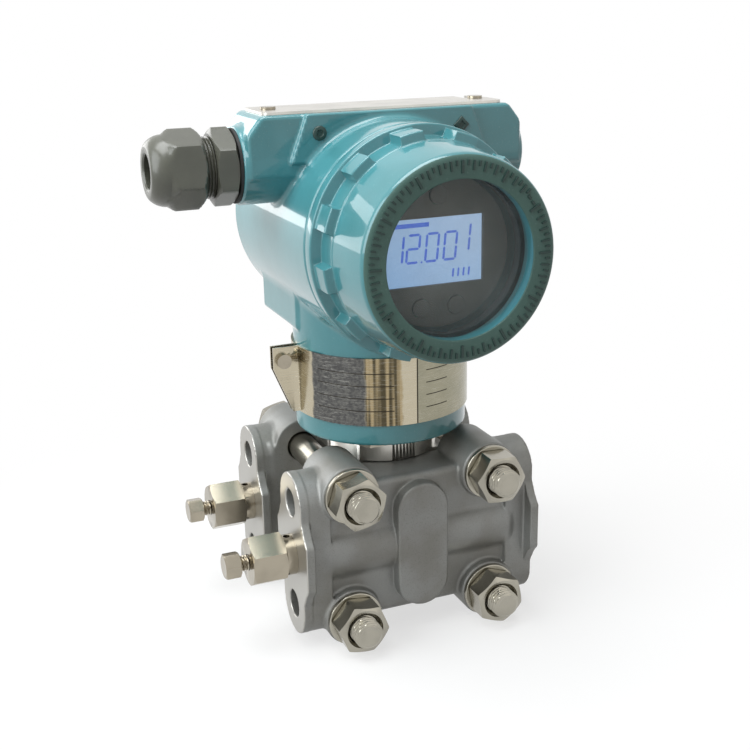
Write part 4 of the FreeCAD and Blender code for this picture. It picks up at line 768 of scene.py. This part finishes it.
# %% Nuts with their chamfers
def hex_rings(low, high, width, hole, turn_off=0.93, columns=72, sink=0.0):
    """Closed profile of a nut: countersunk hole, end faces and the curved edges of the chamfers."""
    flats = hexagon(columns, width)
    face = width / 2 * turn_off
    drop = (flats - face) * math.tan(math.radians(30))
    mouth = [(low + sink, hole), (low, hole + sink)] if sink else [(low, hole)]
    return mouth + [(low, face), (low + drop, flats), (high - drop, flats), (high, face), (high, hole)]


def thread_rings(low, high, radius, pitch, depth, columns=72, ends=0.8):
    """Rings of a thread: radius - depth * ridge, the ridge a triangle wave of along / pitch - angle."""
    steps = max(2, int(round((high - low) / pitch * 10)))
    angle = np.arange(columns) / columns
    along = np.linspace(low, high, steps)[:, None]
    wave = np.abs(((along / pitch - angle) % 1.0) * 2 - 1)
    fade = np.clip(np.minimum(along - low, high - along) / ends, 0, 1)
    height = radius - depth * np.clip(wave * 1.5 - 0.25, 0, 1) - 0.6 * depth * (1 - fade)
    return [(float(a[0]), r) for a, r in zip(along, height)]


bolt_low, bolt_high = reach("flange_bolts")
nut_low, nut_high = reach("flange_nuts")
nut_width = 17.5
turns = {(-1, -1): 8, (-1, 1): -14, (1, -1): 20, (1, 1): 3}
nut_meshes, bolt_meshes, washer_meshes = [], [], []
for i, k in turns:
    x, z, turn = neck_x + bolt_x * i, bolt_z * k, math.radians(turns[i, k])
    nut_rings = hex_rings(nut_low[1], nut_high[1], nut_width, 5.58, sink=1.5)
    nut_meshes.append(turned("nut", "Y", (x, 0, z), nut_rings, turn=turn))
    tail = thread_rings(bolt_low[1] + 0.5, nut_low[1] + 1.4, 5.4, 1.35, 0.8, ends=0.5)
    shank = [(nut_low[1] + 1.6, 5.5), (boss_face, 5.5)]
    head = hex_rings(boss_face, bolt_high[1], nut_width, 0.0)[1:]
    rings = [(bolt_low[1], 0.0), (bolt_low[1], 4.1), (bolt_low[1] + 0.4, 4.6)] + tail + shank + head
    bolt_meshes.append(turned("bolt", "Y", (x, 0, z), rings, closed=False, turn=turn))
    rim = rounded([(nut_high[1], 5.85, 0.2), (nut_high[1], 10.6, 0.5), (nut_high[1] + 1.6, 10.6, 0.3),
                   (nut_high[1] + 1.6, 5.85, 0.2)])
    washer_meshes.append(turned("washer", "Y", (x, 0, z), rim))
for node, meshes in (("flange_nuts", nut_meshes), ("flange_bolts", bolt_meshes),
                     ("flange_washers", washer_meshes)):
    as_piece(f"{node}_finished", join_meshes(node, meshes), nut_steel, "sensor",
             (node,), sharp=24)

# %% [markdown]
# Vent valves
# -----------
# Each valve is a collar, a hexagon and a bleed stem with a small hexagon head, on one axis along X.
# The body keeps its solid, with its side hole, and gets its finish with the other plain solids.

# %% Bleed stems
for node, side in (("vent_stem_front", -1), ("vent_stem_rear", 1)):
    low, high = reach(node)
    centre = (0, side * port_y, 0)
    columns = 60
    flats = hexagon(columns, 8.8, 110)
    drop = (flats - 4.1) * math.tan(math.radians(30))
    neck = low[0] + 6.0
    rings = [(low[0], 0.0), (low[0], 4.1), (low[0] + drop, flats), (neck - drop, flats), (neck, 4.1),
             (neck, 3.0)]
    rings += thread_rings(neck + 0.1, neck + 3.4, 3.0, 1.0, 0.35, columns)
    rings += [(high[0], 2.9), (high[0], 0.0)]
    stem_mesh = turned(node, "X", centre, rings, columns, closed=False, turn=0.3)
    as_piece(f"{node}_finished", stem_mesh, valve_steel, node, (node,), sharp=24)

# %% [markdown]
# The window cover
# ----------------
# A turned cap with a ring of twelve lugs for a strap wrench.  Two profiles are drawn, one through a lug
# and one through the gap between lugs, with the same corners.  Round the axis, the point is a mix of
# the two: P = (1 - m) * gap + m * lug, where m rises and falls smoothly at each lug's sides.

# %% Turn the cover
mark_rise = 0.5


def cover_profile(lug_radius, flank):
    """Corners (y, radius, setback) of the cap, from the window's edge round the outside and back."""
    front, rim = -72.9 + mark_rise, -36.2
    lip = -67.6
    glass_back = lip + 5.8
    ring_back = glass_back + 3.4
    return rounded([
        (front, 26.6, 0.5), (front, 34.9, 2.4), (-50.4, 36.7, 0.8), (-50.2, lug_radius, 0.8),
        (-41.3, lug_radius + flank, 0.5), (-41.0, 41.4, 0.7), (rim, 41.4, 0.5), (rim, 36.0, 0.3),
        (rim + 12.0, 36.0, 0.6), (rim + 12.0, 32.2, 0.4), (ring_back, 32.2, 0.3), (ring_back, 30.5, 0.2),
        (glass_back, 30.5, 0.2), (glass_back, 28.7, 0.2), (lip, 28.7, 0.2), (lip, 26.6, 0.4)])


lug_count, lug_share = 12, 13 / 30
steps_per_lug = 40
columns = lug_count * steps_per_lug
phase = (np.arange(columns) / steps_per_lug) % 1.0
from_middle = np.abs(phase - 0.5)
rise = np.clip((lug_share / 2 - from_middle) / 0.035 + 0.5, 0, 1)
lug_mask = rise * rise * (3 - 2 * rise)
gap_profile, lug_profile = cover_profile(37.0, 0.3), cover_profile(40.2, 0.0)
cover_rings = [(g[0] + (l[0] - g[0]) * lug_mask, g[1] + (l[1] - g[1]) * lug_mask)
               for g, l in zip(gap_profile, lug_profile)]
cover_axis = (neck_x, 0, barrel_z)
cover_mesh = turned("front_cover", "Y", cover_axis, cover_rings, columns, turn=math.radians(4))
as_piece("front_cover_turned", cover_mesh, enamel_gloss, "front_cover",
         ("front_cover",), sharp=38)
cover_mesh.materials.append(enamel_flat)
centres = np.zeros(len(cover_mesh.polygons) * 3)
cover_mesh.polygons.foreach_get("center", centres)
on_face = centres.reshape(-1, 3)[:, 1] / MM < -71.9
cover_mesh.polygons.foreach_set("material_index", on_face.astype(np.int32))
print("faces of the flat front ring:", int(on_face.sum()))

# %% [markdown]
# The index marks on the ring
# ---------------------------
# The ring in front carries a raised scale.  Long, middling and short ticks follow each other round it
# in a plain repeating order, and a pair of dashes breaks it above and below.

# %% Raise the marks
def bar_points(radius, angle, across, along, skin, rise_by):
    """A little block on the ring: its base sits in the skin and its top is a tenth smaller."""
    base = np.array([(-1, -1), (1, -1), (1, 1), (-1, 1)]) * (across / 2, along / 2)
    top = base * (0.82, 0.94)
    layers = np.concatenate([np.c_[base, np.full(4, skin)], np.c_[top, np.full(4, skin - rise_by)]])
    sideways, outward, depth = layers.T
    one, two = radius + outward, sideways
    x = one * np.cos(angle) - two * np.sin(angle)
    z = one * np.sin(angle) + two * np.cos(angle)
    return np.stack((x + neck_x, depth, z + barrel_z), -1)


mark_blocks = []
skin, mark_height = -72.9 + mark_rise + 0.1, mark_rise + 0.1
mark_count, scale_radius = 96, 32.8
for number in range(mark_count):
    if number in (9, 10, 57, 58):
        continue
    width, length = (0.95, 4.4) if number % 8 == 0 else (0.7, 3.4 if number % 2 == 0 else 1.9)
    angle = number * 2 * math.pi / mark_count
    mark_blocks.append(bar_points(scale_radius - length / 2, angle, width, length, skin, mark_height))
for number in (8.9, 10.1, 56.9, 58.1):
    angle = number * 2 * math.pi / mark_count
    mark_blocks.append(bar_points(30.9, angle, 1.7, 0.9, skin, mark_height))
points = np.concatenate(mark_blocks)
block_quads = np.array([(3, 2, 1, 0), (4, 5, 6, 7), (0, 1, 5, 4), (1, 2, 6, 5), (2, 3, 7, 6),
                        (3, 0, 4, 7)])
starts = np.arange(len(mark_blocks))[:, None, None] * 8
marks_mesh = tidy_mesh(mesh_from("index_marks", points, (block_quads + starts).reshape(-1, 4)))
# The marks' darker enamel is painted shade.
as_piece("index_marks", marks_mesh, enamel_mark_painted_shade, "front_cover", sharp=50)
print(f"{len(mark_blocks)} raised marks")

# %% [markdown]
# The two marks on the box
# ------------------------
# The box's front panel carries a raised mark over each adjuster, so that the two are told apart: a
# round stud on the left and a lozenge on the right.  They are cast with the box.

# %% Raise the panel's marks
mark_spread, mark_z = 27.5, 152.6


def mark_profile(foot_radius, dish_radius):
    """A low stud whose middle is dished, from its foot in the panel to its axis."""
    return [(panel_y + 0.2, foot_radius), (panel_y - 0.35, foot_radius - 0.2),
            (panel_y - 0.6, foot_radius - 0.5), (panel_y - 0.6, dish_radius),
            (panel_y - 0.2, dish_radius - 0.3), (panel_y - 0.2, 0.0)]


stud_mesh = turned("zero_mark", "Y", (neck_x - mark_spread, 0, mark_z), mark_profile(2.7, 1.3), 48,
                   closed=False)
lozenge_mesh = turned("span_mark", "Y", (neck_x + mark_spread, 0, mark_z), mark_profile(3.3, 1.6), 4,
                      closed=False)
# These marks carry the same painted shade as the ring's marks.
as_piece("zero_mark", stud_mesh, enamel_mark_painted_shade, "housing", sharp=40)
as_piece("span_mark", lozenge_mesh, enamel_mark_painted_shade, "housing", sharp=50)

# %% [markdown]
# The cable gland
# ---------------
# Moulded nylon: a body with a hexagon and a thread, and a dome nut whose hexagon runs out into a
# rounded end.  The dome nut's radius is the smaller of the hexagon and of a dome profile, and the two
# are blended so that their edge is soft, as a moulding's is.

# %% Gland body and dome nut
def soft_min(one, two, blend_by):
    """The smaller of two values with its corner rounded: -log(exp(-a/k) + exp(-b/k)) * k."""
    return -blend_by * np.logaddexp(-one / blend_by, -two / blend_by)


hex_high = reach("gland_washer")[0][0]
nut_start, nut_end = (corner[0] for corner in reach("gland_dome_nut"))
hex_low = nut_end + 3.4
gland_axis = (0, 0, conduit_z)
body_hex = hex_rings(hex_low, hex_high, 24.4, 6.8, turn_off=0.97, columns=96)
nose = [(hex_low + 0.1, 6.8), (hex_low + 0.1, 10.2)]
nose += thread_rings(hex_low - 10.3, hex_low, 11.0, 1.2, 0.9, 96, ends=0.2)[::-1]
nose += [(hex_low - 10.5, 10.0), (hex_low - 10.5, 9.5), (hex_low - 5.0, 9.5), (hex_low - 5.0, 6.8)]
stub = rounded([(hex_high - 0.1, 6.8, 0.1), (hex_high - 0.1, 10.2, 0.1), (hex_high + 13.0, 10.2, 0.5),
                (hex_high + 13.0, 6.8, 0.2)])
gland_meshes = [turned(f"gland_{part}", "X", gland_axis, rings, 96)
                for part, rings in (("hexagon", body_hex), ("nose", nose), ("stub", stub))]
gland_mesh = join_meshes("gland_body", gland_meshes)
as_piece("gland_body_finished", gland_mesh, nylon, "housing", ("gland_body",), sharp=26)

nut_length = nut_end - nut_start
dome_turn = np.linspace(0, 1, 18) * math.pi / 2
dome_along = np.append(6.2 * (1 - np.cos(dome_turn)) ** 0.8, (7.1, 8.0, 8.9))
dome_radius = np.append(8.8 + 3.7 * np.sin(dome_turn), (13.1, 13.8, 14.5))
flats = hexagon(120, 24.8, 110)
outer = [(nut_start + a, soft_min(np.full(120, r), flats, 0.07))
         for a, r in zip(dome_along, dome_radius)]
outer[0] = (nut_start, np.full(120, 8.6))
straight = [(nut_start + d, flats) for d in (9.2, 11.5, 14.0, nut_length - 1.9)]
rear = [(nut_end - d, np.minimum(flats, 12.1 + 1.25 * d)) for d in (1.8, 1.2, 0.6, 0.0)]
rear += [(nut_end, 11.2)]
inner = [(nut_end - 7.0, 11.2), (nut_end - 7.0, 9.5), (nut_start + 2.7, 9.5), (nut_start + 2.7, 6.2),
         (nut_start + 0.7, 6.2), (nut_start + 0.12, 6.7), (nut_start, 7.4)]
nut_rings = outer + straight + rear + inner
nut_mesh = turned("dome_nut", "X", gland_axis, nut_rings, 120, turn=math.radians(-10))
as_piece("gland_dome_nut_finished", nut_mesh, nylon, "gland_nut", ("gland_dome_nut",),
         sharp=30)
print(f"dome nut {nut_length:.1f} mm long")

# %% [markdown]
# The screen
# ----------
# Seven-segment figures on a lit panel.  A figure is a choice of seven bars; each bar is a small flat
# six-sided plate.  The figures stand a hair in front of the glass of the panel.

# %% Figures and bar
SEGMENTS = {0: "abcdef", 1: "bc", 2: "abged"}
lcd_front = reach("lcd_panel")[0][1]


def segment(centre_x, centre_z, length, width, upright, slant=0.1):
    """A six-pointed bar in the screen's plane, pointed at both ends, leaning a little as figures do."""
    half, thick = length / 2, width / 2
    outline = np.array([(-half, 0), (-half + thick, thick), (half - thick, thick), (half, 0),
                        (half - thick, -thick), (-half + thick, -thick)])
    flat = outline[:, ::-1] if upright else outline
    x, z = flat[:, 0] + centre_x, flat[:, 1] + centre_z
    return np.stack((x + slant * (z - middle("lcd_panel")[2]), z), -1)


def figure(number, left, low, wide, high, bar):
    """The bars of one figure in a box."""
    mid, top_z, gap = low + high / 2, low + high, 0.25
    places = {"a": (left + wide / 2, top_z, wide, False), "d": (left + wide / 2, low, wide, False),
              "g": (left + wide / 2, mid, wide, False), "f": (left, mid + high / 4, high / 2, True),
              "b": (left + wide, mid + high / 4, high / 2, True),
              "e": (left, mid - high / 4, high / 2, True),
              "c": (left + wide, mid - high / 4, high / 2, True)}
    return [segment(x, z, length - gap, bar, upright)
            for name, (x, z, length, upright) in places.items() if name in SEGMENTS[number]]


lcd_x, _, lcd_z = middle("lcd_panel")
outlines = []
for number, left in zip((1, 2, 0, 0), (-15.2, -9.2, -2.2, 4.6)):
    outlines += figure(number, lcd_x + left, lcd_z - 3.4, 4.4, 9.4, 0.85)
outlines += [segment(lcd_x - 3.5, lcd_z - 3.5, 0.9, 0.9, False)]
outlines += [segment(lcd_x + 13.9, lcd_z + z, length, 0.8, True)
             for z, length in ((1.3, 4.6), (6.1, 4.2))]
outlines += [segment(lcd_x + x, lcd_z - 8.2, 3.2, 0.7, True) for x in (8.8, 10.8, 12.8, 14.8)]
figure_mesh = bpy.data.meshes.new("screen_figures")
count = len(outlines)
flat = np.concatenate(outlines)
front = np.full((len(flat), 1), lcd_front - 0.06)
back = front + 0.05
points = np.concatenate([np.c_[flat[:, :1], level, flat[:, 1:]] for level in (front, back)]) * MM
faces = []
for number in range(count):
    near = [number * 6 + i for i in range(6)]
    away = [6 * count + v for v in near]
    sides = [[near[i], away[i], away[(i + 1) % 6], near[(i + 1) % 6]] for i in range(6)]
    faces += [near, away[::-1]] + sides
figure_mesh.from_pydata(points.tolist(), [], faces)
as_piece("screen_figures", tidy_mesh(figure_mesh), figure_blue, "housing", sharp=30)
gauge_low, gauge_high = (lcd_x - 15.5, lcd_z + 8.5), (lcd_x - 1.0, lcd_z + 10.0)
gauge = [(x, y, z) for y in (lcd_front - 0.06, lcd_front - 0.01)
         for x, z in ((gauge_low[0], gauge_low[1]), (gauge_high[0], gauge_low[1]),
                      (gauge_high[0], gauge_high[1]), (gauge_low[0], gauge_high[1]))]
gauge_mesh = tidy_mesh(mesh_from("screen_gauge", np.array(gauge), block_quads))
as_piece("screen_gauge", gauge_mesh, figure_blue, "housing", sharp=30)

# %% [markdown]
# The remaining solids
# --------------------
# These have their true shape already, and need a finish and clean shading.

# %% Dress the rest
finishes = {
    "vent_valve_bodies": valve_steel, "top_plate": plate_steel, "top_plate_screws": valve_steel,
    "zero_adjuster": valve_steel, "span_adjuster": valve_steel, "rear_cover": enamel_gloss,
    "window_gasket": rubber, "window_retainer": black_plastic, "front_cover_seal": rubber,
    "rear_cover_seal": rubber, "window_glass": glass, "display_bezel": bezel_plastic,
    "lcd_panel": screen, "lcd_backlight": black_plastic, "key_left": key_plastic,
    "key_right": key_plastic, "key_top": key_plastic, "gland_washer": rubber, "gland_seal": rubber,
    "conduit_plug": valve_steel, "band_nameplate": sheet_steel, "band_screw": valve_steel,
    "band_nut": valve_steel, "cell_body": plate_steel, "neck_lock_nut": collar_steel,
    "terminal_block": black_plastic, "terminal_screws": valve_steel, "terminal_clamps": brass,
    "ground_screw": brass}
for node, material in finishes.items():
    polish(node, material)
for node, material in {"cell_diaphragms": plate_steel, "cell_seals": rubber, "neck_seal": rubber,
                       "sensor_header": valve_steel, "board_standoffs": brass, "main_board": board_green,
                       "board_components": black_plastic, "display_standoffs": brass,
                       "display_board": board_green}.items():
    paint(node, material)

# %% [markdown]
# The stage
# ---------
# A pale floor and soft light from large lamps, as in a small product studio.  The world and the floor
# are plain white to the camera, to reflections and through glass.  The floor only keeps the soft
# shadow round the object's foot: its factor runs to white a hand's breadth away.

# %% The world
world = bpy.data.worlds.new("studio")
world.use_nodes = True
bpy.context.scene.world = world
world.node_tree.nodes.clear()
studio = Wire(world.node_tree)


def seen_rays(wire):
    """1 for the rays that show the background: from the camera, off gloss and through glass."""
    path = wire.node("ShaderNodeLightPath").socket.node.outputs
    camera_ray, glossy_ray, clear_ray = (Wire(wire.tree, path[f"Is {kind} Ray"])
                                         for kind in ("Camera", "Glossy", "Transmission"))
    return wire.math("MAXIMUM", wire.math("MAXIMUM", camera_ray, glossy_ray), clear_ray)


world_level = 0.14
seen = seen_rays(studio)
background = seen.mix(rgba((1.0, 0.95, 0.88)), rgba((1.0, 1.0, 1.0)))
strength = seen * (1 - world_level) + world_level
light = studio.node("ShaderNodeBackground", Color=background, Strength=strength)
world_output = studio.tree.nodes.new("ShaderNodeOutputWorld")
studio.tree.links.new(light.socket, world_output.inputs[0])
print("the world lights at", world_level)

# %% The floor
floor_size, floor_z = 6.0, reach("flange_front")[0][2] * MM
floor_mesh = bpy.data.meshes.new("floor")
corners = [(-floor_size, -floor_size, floor_z), (floor_size, -floor_size, floor_z),
           (floor_size, floor_size, floor_z), (-floor_size, floor_size, floor_z)]
floor_mesh.from_pydata(corners, [], [(0, 1, 2, 3)])
floor_finish = Finish("pale_floor")
away = floor_finish.radius_from(neck_x, 0, 0, "Z").above(150, 180) * 0.35 + 0.65
whiten = floor_finish.math("MINIMUM", away * seen_rays(floor_finish), 1.0)
board = seen_rays(floor_finish).mix(rgba((0.3, 0.29, 0.28)), rgba((0.9, 0.9, 0.9)))
matt = floor_finish.node("ShaderNodeBsdfDiffuse", Color=board)
white = floor_finish.node("ShaderNodeEmission", Color=rgba((1, 1, 1)), Strength=1.0)
floor_mix = floor_finish.node("ShaderNodeMixShader", s0=whiten, s1=matt, s2=white)
floor_output = floor_finish.tree.nodes.new("ShaderNodeOutputMaterial")
floor_finish.tree.links.new(floor_mix.socket, floor_output.inputs[0])
floor_mesh.materials.append(floor_finish.material)
floor = bpy.data.objects.new("floor", floor_mesh)
bpy.context.scene.collection.objects.link(floor)
print(f"floor at z {floor_z / MM:.1f} mm")

# %% [markdown]
# The light
# ---------
# A large window to the left and a softbox above carry most of the light, so the faces that look to the
# front are in half shade.  A pale panel behind and to the left is what the barrel and the cover's side
# mirror: a flank that curves away from the camera reflects what stands behind it.

# %% The lamps
def lamp(name, place, target, width, height, power, colour):
    data = bpy.data.lights.new(name, "AREA")
    data.shape, data.size, data.size_y = "RECTANGLE", width, height
    data.energy, data.color = power, colour
    thing = bpy.data.objects.new(name, data)
    thing.location = place
    thing.rotation_euler = (Vector(target) - Vector(place)).to_track_quat("-Z", "Y").to_euler()
    thing.visible_camera = False
    bpy.context.scene.collection.objects.link(thing)
    print(f"{name}: {power} W, {width} by {height} m")


aim = (neck_x * MM, 0, 0.07)
lamp("window_light", (-1.0, -0.2, 0.55), aim, 0.8, 0.9, 9.5, (0.94, 0.98, 1.0))
lamp("top_light", (-0.2, -0.05, 1.1), aim, 0.8, 0.8, 12.5, (0.97, 0.99, 1.0))
lamp("back_panel", (-0.6, 1.0, 0.35), aim, 0.75, 0.6, 3.5, (1.0, 1.0, 1.0))
lamp("front_fill", (0.6, -1.0, 0.35), aim, 0.8, 0.8, 0.6, (1.0, 0.94, 0.85))

# %% [markdown]
# Finish
# ------

# %% Set the view transform
scene = bpy.context.scene
scene.view_settings.view_transform = "Standard"
